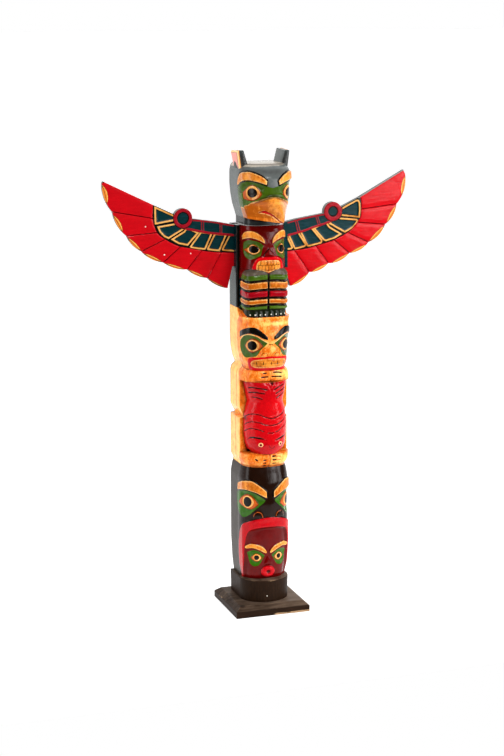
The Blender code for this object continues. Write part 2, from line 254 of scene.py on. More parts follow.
def ringGap(outline, s, z):
    # distance to a closed outline; a place is inside when a level ray from it crosses an odd
    # number of the outline's edges
    ring = np.vstack([outline, outline[:1]])
    gap = lineGap(ring, s, z)
    close = isNear(ring, s, z)
    ps, pz = s[close][:, None], z[close][:, None]
    (s0, z0), (s1, z1) = ring[:-1].T, ring[1:].T
    crossed = ((z0 > pz) != (z1 > pz)) & (ps < (s1 - s0) * (pz - z0) / (z1 - z0 + 1e-12) + s0)
    gap[close] *= 1 - 2 * (crossed.sum(1) % 2)
    return gap


def ovalGap(centre, half, s, z):
    # distance to an ellipse, near enough: the scaled radius less one, times the local half width
    ds, dz = (s - centre[0]) / half[0], (z - centre[1]) / half[1]
    size = np.hypot(ds, dz)
    return np.clip((size - 1.0) * size / np.maximum(np.hypot(ds / half[0], dz / half[1]), 1e-6),
                   -min(half), farOff)


def lift(gap, height, bevel=2.6):
    # ground raised inside a shape, with a sloping edge so wide
    return height * ease(-gap, -0.5 * bevel, 0.5 * bevel)


def pillow(gap, height, reach):
    # ground that swells from a shape's outline towards its middle, level after reach
    inward = np.clip(-gap / reach, 0.0, 1.0)
    return height * np.sqrt(inward * (2.0 - inward))


coatNames = ["ash", "honey", "maroon", "knee", "green", "red", "rust", "amber", "orange", "pink", "cream",
             "dark", "drawn", "lipLine", "white", "beige"]


def brush(coats, name, gap):
    # adds a shape to a coat of paint: the coat's distance is the smallest of its shapes' distances
    np.minimum(coats[name], gap, out=coats[name])


def wipe(coats, name, gap):
    # takes a shape out of a coat of paint
    np.maximum(coats[name], -gap, out=coats[name])


# ---- the post: its bare shape

post = {
    "foot": 71.8, "shoulder": 842.0, "chin": 858.4,
    # mesh rows, and columns on each half of the front and from its end to the corner
    "rows": 566, "frontColumns": 62, "cornerColumns": 4,
    # stretches between the ledges where the section steps
    "stretches": [(71.8, 353), (353.6, 428), (430, 511.4), (512, 650), (650.6, 750.9), (751.3, 842),
                  (842.6, 858), (858.4, 972)],
    "back": [(71.8, 50.5), (842, 50), (842.6, 46.5), (971, 46.5), (972, 43)],
    "flank": [(71.8, 48), (100, 51.5), (150, 54), (298, 54), (317, 50.5), (326, 47.5), (338, 53),
              (345, 53.5), (428, 53.5), (430, 44), (450, 53.5), (525, 53.5), (534, 51), (540.5, 43),
              (556, 49), (575, 52.5), (600, 54), (842, 53.5), (842.6, 40), (858, 40), (858.4, 40.5),
              (862, 41.5), (885, 48.5), (905, 52), (925, 54), (955, 54), (966, 51.5), (972, 46)],
    "edge": [(71.8, 2), (218, 4), (300, 4), (326, 6), (335, 10), (353, 14), (354, 20), (511, 20),
             (512.5, 14), (538, 10), (541, 6), (600, 5), (640, 8), (650, 18), (656, 15), (665, 6),
             (667, 4), (842, 4), (842.6, 10), (858, 10), (858.4, 14), (890, 16), (972, 16)],
    "fish": [(353.6, 31), (362, 39), (376, 44), (400, 46.5), (425, 46.5), (450, 43), (467, 38.5),
             (485, 42), (505, 46), (511.4, 46.5)],
    "bird": [(650.6, 45), (665, 46), (667, 48), (742, 48), (748, 46.5), (842, 46.5)],
    "reach": [(71.8, 45), (78, 49), (100, 51), (150, 53), (200, 55), (218, 57), (262, 63), (290, 60),
              (308, 56), (320, 51.5), (326, 50), (331, 57), (345, 58.5), (353, 56), (353.6, 59),
              (362, 64), (376, 69), (425, 70), (450, 68.5), (467, 67), (485, 68.5), (505, 70),
              (511.4, 66), (512, 61), (518, 65), (533, 65), (535.5, 61.5), (537.5, 58.5), (540, 61.5),
              (547, 66.5), (568, 67), (580, 69), (600, 71), (625, 68), (645, 63), (650, 60), (650.6, 54),
              (665, 51), (667, 54), (700, 56), (738, 57), (744, 54), (752, 56), (765, 58.5),
              (780, 59), (796, 58), (806, 55), (830, 52), (838, 49), (842, 45), (842.6, 42),
              (858, 42), (858.4, 48), (862, 51), (870, 60), (885, 82), (905, 85), (930, 86),
              (945, 84), (957, 78), (965, 70), (970, 60), (972, 50)],
    "squareness": [(71.8, 2.6), (200, 2.6), (262, 2.4), (340, 2.6), (353, 2.6), (353.6, 2.2),
                   (511.4, 2.2), (512, 2.6), (600, 2.4), (645, 2.9), (650.6, 3.5), (667, 5),
                   (742, 5), (750, 2.8), (842, 2.4), (842.6, 2.2), (858, 2.2), (858.4, 3.4),
                   (866, 3.2), (885, 2.4), (972, 2.4)],
    "blur": 2.2, "cornerRound": 4.0, "backRound": 2.5,
    # wing grooves: depths behind the axis of the two walls, and how far in their bottom lies
    "groove": (13.9, 14.2, 32.8, 33.1), "grooveIn": 41.2, "grooveFloor": 751.2,
    "crownParts": (0.96, 0.85, 0.62, 0.3), "crownRise": 1.6,
}
beak = {
    "ridge": [(858.4, 150), (861, 154.5), (868, 156), (875, 152), (882, 145), (890, 135), (898, 123),
              (904, 107), (908, 80), (920, 0)],
    "half": [(858.4, 41.5), (870, 43), (890, 46)],
    "squareness": [(858.4, 1.08), (870, 1.15), (890, 1.4)],
    "edge": 38.0, "drop": 17.0, "fillet": 5.0, "top": 912.0, "lean": 4.5, "leanTop": 884.0,
}


def postRows():
    # heights of the rows, evenly spread inside each stretch between two ledges
    total = sum(high - low for low, high in post["stretches"])
    rows = []
    for low, high in post["stretches"]:
        count = max(3, round(post["rows"] * (high - low) / total))
        rows.append(np.stack([np.linspace(low, high, count), np.full(count, low), np.full(count, high)]))
    return np.hstack(rows)


def profileAt(name, rows):
    # a profile of the post at every row, averaged only inside the row's own stretch
    return along(post[name], rows[0], rows[1], rows[2], post["blur"])[:, None]


def frontHalf(rows):
    # half width of the carved front: narrower than the sawn sides at the fish and the winged figure
    half = profileAt("flank", rows)
    for name in ("fish", "bird"):
        low, high = post[name][0][0], post[name][-1][0]
        inside = (rows[0] >= low - 0.3) & (rows[0] <= high + 0.1)
        half = np.where(inside[:, None], profileAt(name, rows), half)
    return half


def frontPlaces():
    # fractions of the half width that lie evenly along a front of average roundness
    angle = np.linspace(0, math.pi / 2, 600)
    x, y = np.sin(angle) ** (2 / 2.4), np.cos(angle) ** (2 / 2.4)
    run = np.concatenate([[0], np.cumsum(np.hypot(np.diff(x), np.diff(y)))])
    half = np.interp(np.linspace(0, run[-1], post["frontColumns"] + 1), run, x)
    return np.concatenate([-half[:0:-1], half])


def rounded(place, edge, reach, squareness):
    # depth of a front whose section is a superellipse from the edge out to the reach
    return edge + (reach - edge) * (1.0 - np.abs(place) ** squareness) ** (1.0 / squareness)


def beakDepth(x, rows):
    # a blunt wedge over each row; its upper line falls from the middle towards the cheeks, so
    # the ridge is read higher up the further out a place is; it is narrower on its right near the tip
    height = rows[0][:, None]
    lean = beak["lean"] * (x > 0) * ease(beak["leanTop"] - height, 0, 22)
    half = along(beak["half"], height) - lean
    place = np.clip(np.abs(x) / half, 0.0, 1.0)
    ridge = along(beak["ridge"], height + beak["drop"] * place ** 1.5)
    return rounded(place, beak["edge"], np.maximum(ridge, beak["edge"]), along(beak["squareness"], height))


def joined(first, second, fillet):
    # larger of two depths, with a fillet where they cross
    return 0.5 * (first + second + np.sqrt((first - second) ** 2 + fillet ** 2)) - 0.25 * fillet


def sideColumns(rows, wide, flank, edge, back):
    # one side of the post from the end of its carved front to the back, as x and depth columns:
    # a narrow ledge, a round corner, the sawn side with the wing groove, the back corner
    room = np.minimum(post["cornerRound"], 0.9 * (flank - wide))
    bend = np.maximum(room, 0.8)
    turns = [(flank - room * (1 - math.sin(a)), edge - 0.4 - bend * (1 - math.cos(a)))
             for a in (0, math.pi / 4, math.pi / 2)]
    ledge = (0.5 * (wide + turns[0][0]), 0.5 * (edge + turns[0][1]))
    columns = [ledge] + turns
    top = turns[-1][1]
    first, second, third, last = post["groove"]
    columns += [(flank, top + (-first - top) * part) for part in (0.25, 0.5, 0.75)]
    inGroove = ((rows[0] >= post["grooveFloor"]) & (rows[0] <= post["shoulder"]))[:, None]
    floor = np.where(inGroove, np.minimum(flank, post["grooveIn"]), flank)
    columns += [(flank, -first), (floor, -second), (floor, -0.5 * (second + third)), (floor, -third),
                (flank, -last)]
    bend = post["backRound"]
    end = -(back - bend)
    columns += [(flank, -last + (end + last) * part) for part in (1 / 3, 2 / 3, 1)]
    columns += [(flank - 0.3 * bend, -(back - 0.3 * bend)), (flank - bend, -back)]
    shape = flank.shape
    return [(np.broadcast_to(x, shape), np.broadcast_to(d, shape)) for x, d in columns]


def softened(field, times=2):
    # mean of each place and its neighbours along and across, repeated
    for _ in range(times):
        for axis in (0, 1):
            ends = [(1, 1) if way == axis else (0, 0) for way in (0, 1)]
            wider = np.pad(field, ends, mode="edge")
            take = lambda start: wider.take(range(start, start + field.shape[axis]), axis)
            field = (take(0) + 2 * take(1) + take(2)) / 4
    return field


# ---- the figures: drawn as (distance round from the front, height)

# the faces and the legs are one side, mirrored; the fish, hands, feet and teeth are drawn on both
headFace = {
    "browTop": [(12.6, 939.5), (20, 946.5), (29, 951.8), (45, 956.8), (61, 956.3), (75, 954),
                (87, 950.3), (98, 943), (107, 931)],
    "browFoot": [(13.9, 931), (21, 934), (30, 937), (48, 940.3), (65, 939.3), (84, 935), (95, 930),
                 (105, 925.5)],
    # the head's wide dark line round the brow is partly a drawn outline, partly painted shade from the
    # socket
    "browRise": 3.6, "browLine": 3.0, "browCoat": "orange",
    "socketTop": [(13, 927), (21, 931), (30, 934.5), (48, 937.5), (65, 936.5), (83, 932.5), (95, 925)],
    "socketFoot": [(13, 927), (19, 915), (29, 903), (42, 896), (57, 893), (74, 893), (88, 899),
                   (95, 911), (95, 925)],
    "socketDeep": 4.5, "socketBevel": 9.0, "socketCoat": None,
    "eyeTop": [(23.8, 911.5), (28, 918), (33.6, 923.8), (39, 927.8), (44.5, 929.3), (54.5, 927.8),
               (66, 921), (78, 912.5)],
    "eyeFoot": [(23.8, 911.5), (29.4, 905), (36, 901), (43, 898.8), (60.6, 898.6), (70, 899.6),
                (77, 902.5), (78, 912.5)],
    "eyeRise": 3.5, "pupil": (46.5, 914.3), "pupilHalf": (13.2, 9.9), "ring": (4.6, 4.6), "outline": 1.3,
    "mask": [(-9, 925.3), (1.5, 925.3), (12.4, 929), (22, 936), (48, 942), (65, 941), (84, 937),
             (96, 931), (102.5, 924), (103, 907), (100.5, 895), (96, 880), (88.7, 881), (72, 885.5),
             (57, 888), (50, 892), (34, 897.5), (18, 903), (6, 906.3), (-9, 907)],
    "billTop": [(106, 880), (88.7, 881), (72, 885.5), (57, 888), (50, 892), (34, 897.5), (18, 903),
                (6, 906.3), (-9, 907)],
    "mouth": [(29.5, 875.2), (26, 878), (23.6, 879.4), (19.8, 877.8), (14.6, 873.8), (10, 868.3),
              (5.6, 862.8), (1.1, 859.3)],                    # across and height on the beak
    "mouthTop": 884.0,
    "lip": [(29.5, 875.2), (23.6, 879.4), (14.6, 873.8), (10, 868.3), (5.6, 862.8), (8.4, 864.4),
            (12.6, 869.2), (17.6, 873.0), (24, 874.8)],
}
birdFace = {
    "browTop": [(8.2, 812.3), (14, 821.3), (24.5, 828.8), (37.1, 831.8), (52, 828.8), (66, 819.8)],
    "browFoot": [(8.2, 806.3), (20.1, 813.3), (35.2, 817.8), (47, 816.8), (65, 812.5)],
    "browRise": 3.0, "browLine": 0.0, "browCoat": "orange",
    "socketTop": [(10.7, 802.3), (20.1, 809.3), (35.2, 812.8), (47, 812), (57.7, 808.3), (63, 801)],
    "socketFoot": [(10.7, 802.3), (15, 794), (17.6, 783.5), (27, 777.3), (40.3, 772.8), (55.7, 776.8),
                   (63.3, 785), (64.5, 793), (63, 801)],
    "socketDeep": 3.2, "socketBevel": 7.0, "socketCoat": "green",
    "eyeTop": [(18.2, 792.8), (23.9, 799.3), (32.7, 804), (40, 802.5), (47, 797.5), (61.5, 791.8)],
    "eyeFoot": [(18.2, 792.8), (23, 787.5), (29.5, 784.3), (37, 783.5), (45.3, 786.5), (53, 788.3),
                (61.5, 791.8)],
    "eyeRise": 3.0, "pupil": (33.1, 794.2), "pupilHalf": (11.6, 7.7), "ring": (4.2, 2.4), "outline": 0.8,
    "nose": [(-9, 795), (0, 795.4), (4, 791.5), (10.4, 784.5), (11.5, 780), (8, 777.8), (-9, 777.8)],
    "lip": [(-9, 778.6), (2, 778.6), (15.7, 778.4), (22.5, 776), (28.2, 771.8), (31.8, 766),
            (34, 760.3), (35.6, 753.3), (36, 744)],
    "lipInner": [(-9, 771.4), (2, 771.4), (18.5, 770.8), (23, 768), (25.6, 763.8), (26.4, 759),
                 (26.3, 753.8), (25.5, 750.6), (15, 750), (8, 747.5), (0, 745.5), (-9, 745.5)],
    # a line across, and where the ticks of the upper and the lower teeth are counted from
    "teethLine": 760.8, "toothWidth": 6.8, "toothShifts": (100.0, 103.4),
}
legs = {
    "top": [(-9, 741), (0, 742.8), (2.5, 744.4), (8, 747.5), (15, 749.6), (27, 751.6), (39, 752),
            (48, 750.6), (56.7, 748.3), (68.8, 742.3), (75, 735)],
    # each band's lower line at the middle of the front, and its coat; the first is the bare cap
    "bands": [(740.5, None), (727.5, "green"), (708.5, "orange"), (691, "red"), (676.5, "orange"),
              (664.5, "green")],
    "noLine": 2000.0,                                         # above the first band: out of reach
    "sag": 2.4, "sagAt": 45.0, "gapHalf": 2.6, "gapDeep": 3.6,
    "clawDots": [6.5, 17.5, 28.5, 39.0], "dotHeight": 655.3, "dotHalf": (1.7, 1.4),
}
bearFace = {
    "browTop": [(6.6, 609.8), (18.5, 621.3), (30.4, 629.3), (42.6, 630.5), (57.9, 626.8), (81.5, 617.8)],
    "browFoot": [(7.3, 603.8), (16.8, 606.8), (28.5, 613.4), (43.4, 616.6), (59.6, 613.6), (82, 605)],
    "browRise": 2.2, "browLine": 0.0, "browCoat": "dark",
    "socketTop": [(7.3, 596.8), (19, 603.8), (30.8, 611), (46.6, 613.8), (63.2, 610.8), (78.5, 600)],
    "socketFoot": [(7.3, 596.8), (13, 590.8), (21.6, 582.3), (30.2, 569.3), (43.7, 565.8),
                   (60.7, 563.8), (73.1, 571.8), (80.7, 585.8), (78.5, 600)],
    "socketDeep": 3.6, "socketBevel": 8.0, "socketCoat": "green",
    "eyeTop": [(18.1, 590.8), (28.8, 601.5), (40.2, 605.2), (53.7, 600), (62.8, 589)],
    "eyeFoot": [(18.1, 590.8), (26, 583.3), (38.4, 577.3), (46, 577.2), (53, 580.2), (62.8, 589)],
    "eyeRise": 3.5, "pupil": (41.3, 591.3), "pupilHalf": (11.4, 10.1), "ring": (4.6, 2.2), "outline": 1.5,
    "nose": [(-9, 592.5), (0, 592.8), (8, 588), (16, 583), (22, 576), (24.5, 570.5), (18, 567.3),
             (-9, 567.3)],
    "nostril": (13.5, 571.3), "nostrilHalf": 5.4,
    "lip": [(-9, 568.6), (1.4, 568.6), (18, 567.2), (30, 566.2), (43.5, 565), (49.8, 561.5),
            (52.3, 552.5), (49.8, 543), (43.4, 538.4), (34, 536.8), (17, 536.4), (3, 536.8), (-9, 536.8)],
    "lipInner": [(-9, 563.2), (1.4, 563.2), (16, 562.4), (28, 561), (38, 558.6), (42.6, 554.5),
                 (43.3, 549.5), (39, 545), (29, 543.2), (16, 543.2), (3, 543.4), (-9, 543.4)],
    "earEdge": [(79, 661.4), (62, 655.2), (46.8, 649.4)],
    "teethLine": 552.6, "teethTicks": [-30, -15.5, 1, 15.3, 33],
}
fish = {
    "waves": [[(-69, 432.5), (-55, 439), (-42.5, 442.3), (-25, 441.8), (-12.2, 436.8), (2.5, 433.8),
               (19, 437.3), (32.7, 442.5), (48, 449), (60, 453)],
              [(-69, 416), (-55, 422.5), (-42.3, 425.8), (-24.9, 424.8), (-12.6, 420.3), (3.8, 418.8),
               (18.4, 421.3), (31.5, 427), (46, 434), (60, 440)],
              [(-70, 401), (-55, 408), (-42.3, 410.8), (-26.2, 409.3), (-16, 405.5)],
              [(-6, 402.6), (0, 402), (5, 402.3)],
              [(11, 403.3), (24.3, 408.8), (38, 416), (56, 422)]],
    "flukes": [[(-54, 498), (-42, 500), (-30, 499.5), (-18, 498.3), (-8, 496)],
               [(-54, 487), (-42, 489.3), (-30, 489.6), (-14, 487.8)],
               [(-43, 478.5), (-32, 478.6), (-19, 475.5)],
               [(8, 496), (20, 501), (34, 505)], [(12, 487), (24, 491.5), (40, 497)],
               [(14, 477), (26, 482), (38, 487)]],
    "brows": [[(-57, 385.5), (-47, 390.6), (-34, 391.6), (-22, 390.3), (-11, 386.5)],
              [(10, 385.5), (22, 388.5), (33, 391.5), (44, 392)]],
    "eyes": [(-21.8, 376.4), (23.3, 376.6)], "eyeHalf": 4.9, "dotHalf": 1.9,
    "snout": [(-5.5, 377), (-3, 373), (1, 368), (4.4, 366.8), (9.4, 371.5)],
    "notch": [(-8, 512), (0.6, 494.6), (14, 512)],
    "waveDeep": 2.2, "low": 353.4, "high": 511.6,
}
hands = {
    "grooves": [[(-19, 522.6), (-12, 523.2), (-5, 523.4)], [(4, 523.4), (15, 523.2), (27, 522)],
                [(8, 532.4), (18, 532), (28, 530)], [(-15, 531), (-8, 531.6)]],
    "meet": [(1.5, 537), (2.5, 530), (0.5, 521), (2, 512)],
    "chin": [(48, 537.0), (60, 538.2), (76, 540.5), (94, 545)],
}
paws = {
    "toes": [[(-12.5, 340.2), (-7.5, 340.5)], [(-12, 333.6), (-7.5, 333.8)], [(-11, 327), (-7, 327)],
             [(8, 347.8), (14, 347.6)], [(8.5, 340), (15.5, 339.4)], [(9, 331.6), (14.5, 331.4)],
             [(-30, 342.5), (-26.5, 339.8)]],
    "lines": [[(-7.5, 340.5), (-3, 341)], [(14, 347.6), (27, 345)], [(15, 339.4), (29, 338)],
              [(14, 331.4), (24, 330.5)], [(0.5, 353), (1.5, 340), (0.5, 324)]],
}
whaleFace = {
    "browTop": [(8, 271.3), (15, 278.5), (24, 286), (33, 291.8), (42.2, 294.8), (61, 292.3),
                (76, 287.5), (91.4, 281.3)],
    "browFoot": [(8, 257.8), (18, 263.5), (30, 269.8), (42, 272.8), (55, 274.3), (75, 271), (96, 265.8)],
    "browRise": 3.6, "browLine": 2.6, "browCoat": "orange",
    "socketTop": [(10, 252.5), (20, 259.5), (30, 266), (42, 270), (55, 272), (75, 269), (96, 262.5)],
    "socketFoot": [(10, 252.5), (14.6, 246.3), (25, 237), (36, 227), (43, 220), (50.3, 215),
                   (60, 211.4), (68, 212), (78, 215.5), (86.5, 221), (93, 232), (96.5, 246), (96, 262.5)],
    "socketDeep": 5.0, "socketBevel": 10.0, "socketCoat": "green",
    "eyeTop": [(25.6, 243), (33, 252), (42, 260), (53, 263), (64, 260), (74, 252), (83, 241.5)],
    "eyeFoot": [(25.6, 243), (33, 236.5), (41, 232), (49, 231), (60, 233), (72, 237.5), (83, 241.5)],
    "eyeRise": 4.0, "pupil": (52.2, 247.0), "pupilHalf": (11.3, 11.2), "ring": (4.6, 2.0), "outline": 1.2,
    "nostril": [(34.3, 210.5), (34.3, 217), (31.5, 223), (25.5, 226), (19, 223.5), (15.5, 217), (14.6, 212)],
    "lip": [(-9, 212.6), (0, 212.6), (9.5, 212.3), (27, 209), (42, 204.3), (55, 199), (64, 192.8),
            (71, 184), (76.4, 173.8), (81, 152), (83, 122), (79, 98), (71, 79), (68, 60)],
    "lipInner": [(-9, 191.2), (0, 191.2), (10, 190.9), (19, 190.3), (30, 188), (39.5, 185), (46, 179),
                 (50.4, 170.3), (54, 152), (56, 130), (58.5, 105), (61.5, 79), (62, 60)],
    "lipRise": 2.6, "mouthDeep": 4.0,
}
innerFace = {
    "browTop": [(3.6, 134), (9.5, 142), (16, 146.8), (24, 150), (38.7, 152.3), (46, 150.8), (53.5, 146.5)],
    "browFoot": [(4.6, 129.5), (13, 134.3), (23.8, 139.8), (37, 143.3), (49.2, 141), (54, 142.5)],
    "browRise": 3.0, "browLine": 0.0, "browCoat": "orange",
    "socketTop": [(8, 125.5), (15, 131), (23.7, 136), (33, 137.8), (43, 136), (51.6, 132)],
    "socketFoot": [(8, 125.5), (12.8, 117.5), (21.6, 104.3), (33, 101.3), (42.5, 106.3), (47.5, 118),
                   (51.6, 132)],
    "socketDeep": 2.6, "socketBevel": 6.0, "socketCoat": "green",
    "eyeTop": [(14, 120), (21, 126.8), (27.5, 129.5), (34, 127), (42.5, 120)],
    "eyeFoot": [(14, 120), (20, 114.5), (27, 111.8), (34, 114), (42.5, 120)],
    "eyeRise": 2.2, "pupil": (27, 121), "pupilHalf": (6.0, 5.6), "ring": (4.0, 2.2), "outline": 0.9,
    "nose": [(-9, 122.5), (0, 122.8), (5, 116), (9, 107.5), (7, 103.8), (-9, 103)],
    "mouth": (-0.4, 88.8), "mouthHalf": (16.2, 13.0), "mouthHole": (4.4, 4.0),
}


def carveFace(face, side, z, coats):
    # raised brows over hollow sockets with bulging, almond-shaped eyes; returns how far the wood
    # stands out
    brow = ringGap(between(face["browTop"], face["browFoot"]), side, z)
    socket = ringGap(between(face["socketTop"], face["socketFoot"]), side, z)
    eye = ringGap(between(face["eyeTop"], face["eyeFoot"]), side, z)
    pupil = ovalGap(face["pupil"], face["pupilHalf"], side, z)
    # the light ring round the pupil is wider at its sides than above and below
    wider, taller = face["ring"]
    irisHalf = (face["pupilHalf"][0] + wider, face["pupilHalf"][1] + taller)
    iris = ovalGap(face["pupil"], irisHalf, side, z)
    if face["socketCoat"]:
        brush(coats, face["socketCoat"], socket)
    brush(coats, "rust", eye - face["outline"])
    brush(coats, "amber", eye + 0.6)
    brush(coats, "orange", np.maximum(eye + 0.6, iris))
    brush(coats, "dark", pupil)
    wipe(coats, "orange", pupil)
    brush(coats, face["browCoat"], brow)
    if face["browLine"]:
        brush(coats, "dark", np.maximum(brow - face["browLine"], -brow))
    hollow = face["socketDeep"] * ease(-socket, -0.5, face["socketBevel"])
    return lift(brow, face["browRise"]) - hollow + pillow(eye - 2.0, face["eyeRise"], 9.0)


def paintLips(coats, lip, inner, name):
    # a red lip between two outlines, and another coat inside it; returns the lip's distance
    rim = np.maximum(lip, -inner)
    brush(coats, "red", rim)
    brush(coats, name, inner)
    return rim


def mouthGap(across, z):
    # distance to the beak's mouth line, far off above it
    gap = lineGap(spline(headFace["mouth"]), np.abs(across), z)
    return np.where(z < headFace["mouthTop"], gap, farOff)


def carveHead(s, z, coats, across, edgeRun):
    # green mask, orange bill with its mouth line, a beige crown that is partly painted light from above
    side = np.abs(s)
    out = carveFace(headFace, side, z, coats)
    mask = ringGap(spline(headFace["mask"], 4), side, z)
    brush(coats, "green", mask)
    # the bill: everything on the front under its upper line
    bill = ringGap(np.vstack([spline(headFace["billTop"]), [(-9, 830), (118, 830)]]), side, z)
    bill = np.maximum(bill, side - edgeRun - 2.5)
    brush(coats, "orange", bill)
    out = out + 1.2 * np.exp(-(lineGap(spline(headFace["billTop"]), side, z) / 2.2) ** 2)
    # the mouth is a carved line with a red lip under it
    mouth = mouthGap(across, z)
    lip = ringGap(np.array(headFace["lip"], float), np.abs(across), z)
    lip = np.maximum(lip, z - headFace["mouthTop"])
    brush(coats, "red", lip)
    wipe(coats, "orange", lip)
    brush(coats, "lipLine", mouth - 1.1)
    brush(coats, "beige", 967.6 - z + 0.03 * s)
    return out - 4.5 * ease(z, 957, 972) ** 2


def carveBird(s, z, coats, across, edgeRun):
    # the winged figure: its face above the curved line of its chest, its legs below it
    side = np.abs(s)
    top = ringGap(np.vstack([spline(legs["top"]), [(92, 725), (92, 640), (-9, 640)]]), side, z)
    brush(coats, "maroon", np.maximum(side - edgeRun - 0.5, -top))
    face = {name: np.full(s.shape, farOff) for name in coatNames}
    out = carveFace(birdFace, side, z, face)
    nose = ringGap(spline(birdFace["nose"], 4), side, z)
    out = out + pillow(nose, 4.5, 7.0)
    brush(face, "dark", np.maximum(np.abs(nose) - 0.8, 780 - z))
    lip = ringGap(np.vstack([spline(birdFace["lip"]), [(-9, 744)]]), side, z)
    inner = ringGap(spline(birdFace["lipInner"], 4), side, z)
    rim = paintLips(face, lip, inner, "orange")
    out = out + lift(rim, 2.2) + pillow(inner, 2.6, 8.0)
    # teeth: one line across and ticks staggered above and below it
    line, width = birdFace["teethLine"], birdFace["toothWidth"]
    upper, lower = (0.5 * width - np.abs((s + shift) % width - 0.5 * width)
                    for shift in birdFace["toothShifts"])
    bite = np.minimum(np.abs(z - line), np.where(z > line, upper, lower))
    bite = np.maximum(bite - 0.55, inner + 1.0)
    brush(face, "drawn", bite)
    out = out - lift(bite, 0.9, 1.6)
    for name in coatNames:
        brush(coats, name, np.maximum(face[name], -top))
    out = out * ease(top, -1.0, 1.5)
    # legs: bands with gaps between them that sag towards the corners, and a gap between the legs
    sag = legs["sag"] * np.exp(-((side - legs["sagAt"]) / 20.0) ** 2)
    height = z + sag
    low, half = legs["noLine"], legs["gapHalf"]
    gap = np.maximum(side - half * 0.8, 664 - z)
    above = None
    for line, band in legs["bands"]:
        upperGap, lowerGap = (half if above else 0.0), (half if band else 0.0)
        inBand = np.maximum(height - low + upperGap, line + lowerGap - height)
        inBand = np.maximum(np.maximum(inBand, top + 0.5), side - edgeRun + 5.0)
        brush(coats, band or "knee", inBand)
        out = out + pillow(np.maximum(inBand, 3.0 - side), 1.6, 5.0)
        if band and above:
            gap = np.minimum(gap, np.abs(height - low) - half)
        low, above = line, band
    gap = np.minimum(gap, np.abs(height - low) - half * 0.7)
    gap = np.maximum(gap, top + 2.0)
    for name in ("green", "orange", "red", "knee"):
        wipe(coats, name, gap)
    brush(coats, "dark", gap)
    return out - lift(gap, legs["gapDeep"], 2.4) * (z < 752)


def carveClaws(s, z, coats, across, edgeRun):
    # toes under the legs: a dark slope with a row of light dots, and low lumps between them
    side = np.abs(s)
    for place in legs["clawDots"]:
        brush(coats, "white", ovalGap((place, legs["dotHeight"]), legs["dotHalf"], side, z))
    return 0.9 * np.cos(2 * math.pi * (side - 6.5) / 11.0) * ease(665 - z, 0, 4) * (side < 46)


def carveBear(s, z, coats, across, edgeRun):
    # the bear's face and the edges of its ears, and its hands folded under its chin
    side = np.abs(s)
    out = carveFace(bearFace, side, z, coats)
    socket = ringGap(between(bearFace["socketTop"], bearFace["socketFoot"]), side, z)
    brush(coats, "cream", np.maximum(np.maximum(socket - 1.4, -socket), 596 - z))
    nose = ringGap(spline(bearFace["nose"], 4), side, z)
    out = out + pillow(nose, 4.5, 12.0)
    nostril = np.hypot(side - bearFace["nostril"][0], z - bearFace["nostril"][1]) - bearFace["nostrilHalf"]
    brush(coats, "drawn", np.maximum(np.abs(nostril) - 0.6, bearFace["nostril"][1] - z - 1.5))
    out = out + pillow(nostril, 1.4, 3.5) - lift(np.abs(nostril) - 0.8, 0.6, 1.5)
    brush(coats, "dark", np.maximum(np.abs(z - 594.3) - 0.8, side - 5.5))
    lip = ringGap(spline(bearFace["lip"], 4), side, z)
    inner = ringGap(spline(bearFace["lipInner"], 4), side, z)
    rim = paintLips(coats, lip, inner, "orange")
    out = out + lift(rim, 1.8, 3.0) + pillow(inner, 2.0, 7.0)
    bite = np.maximum(np.abs(z - bearFace["teethLine"]) - 0.6, inner + 2.0)
    for place in bearFace["teethTicks"]:
        tick = np.maximum(np.abs(s - place) - 0.8, np.abs(z - bearFace["teethLine"] - 1.0) - 3.6)
        bite = np.minimum(bite, tick)
    brush(coats, "drawn", bite)
    out = out - lift(bite, 1.0, 1.8)
    # ears: a light edge from the side of the head down to the forehead's top edge
    ear = lineGap(np.array(bearFace["earEdge"], float), side, z, 1.1)
    brush(coats, "cream", ear)
    out = out + lift(ear, 1.0, 3.0)
    # hands folded under the chin, with the gaps between their fingers
    low = z < 538
    for line in hands["grooves"]:
        gap = lineGap(spline(line), s, z, 1.4)
        brush(coats, "drawn", np.where(low, gap, farOff))
        out = out - lift(gap, 2.4, 3.0)
    # a brown line in the crease under the chin, partly painted shade
    chin = lineGap(spline(hands["chin"]), side, z, 0.7)
    brush(coats, "rust", chin)
    out = out - lift(chin, 1.6, 3.0)
    meet = lineGap(spline(hands["meet"]), s, z, 0.9)
    out = out - lift(meet, 2.2, 4.0) * low
    return out


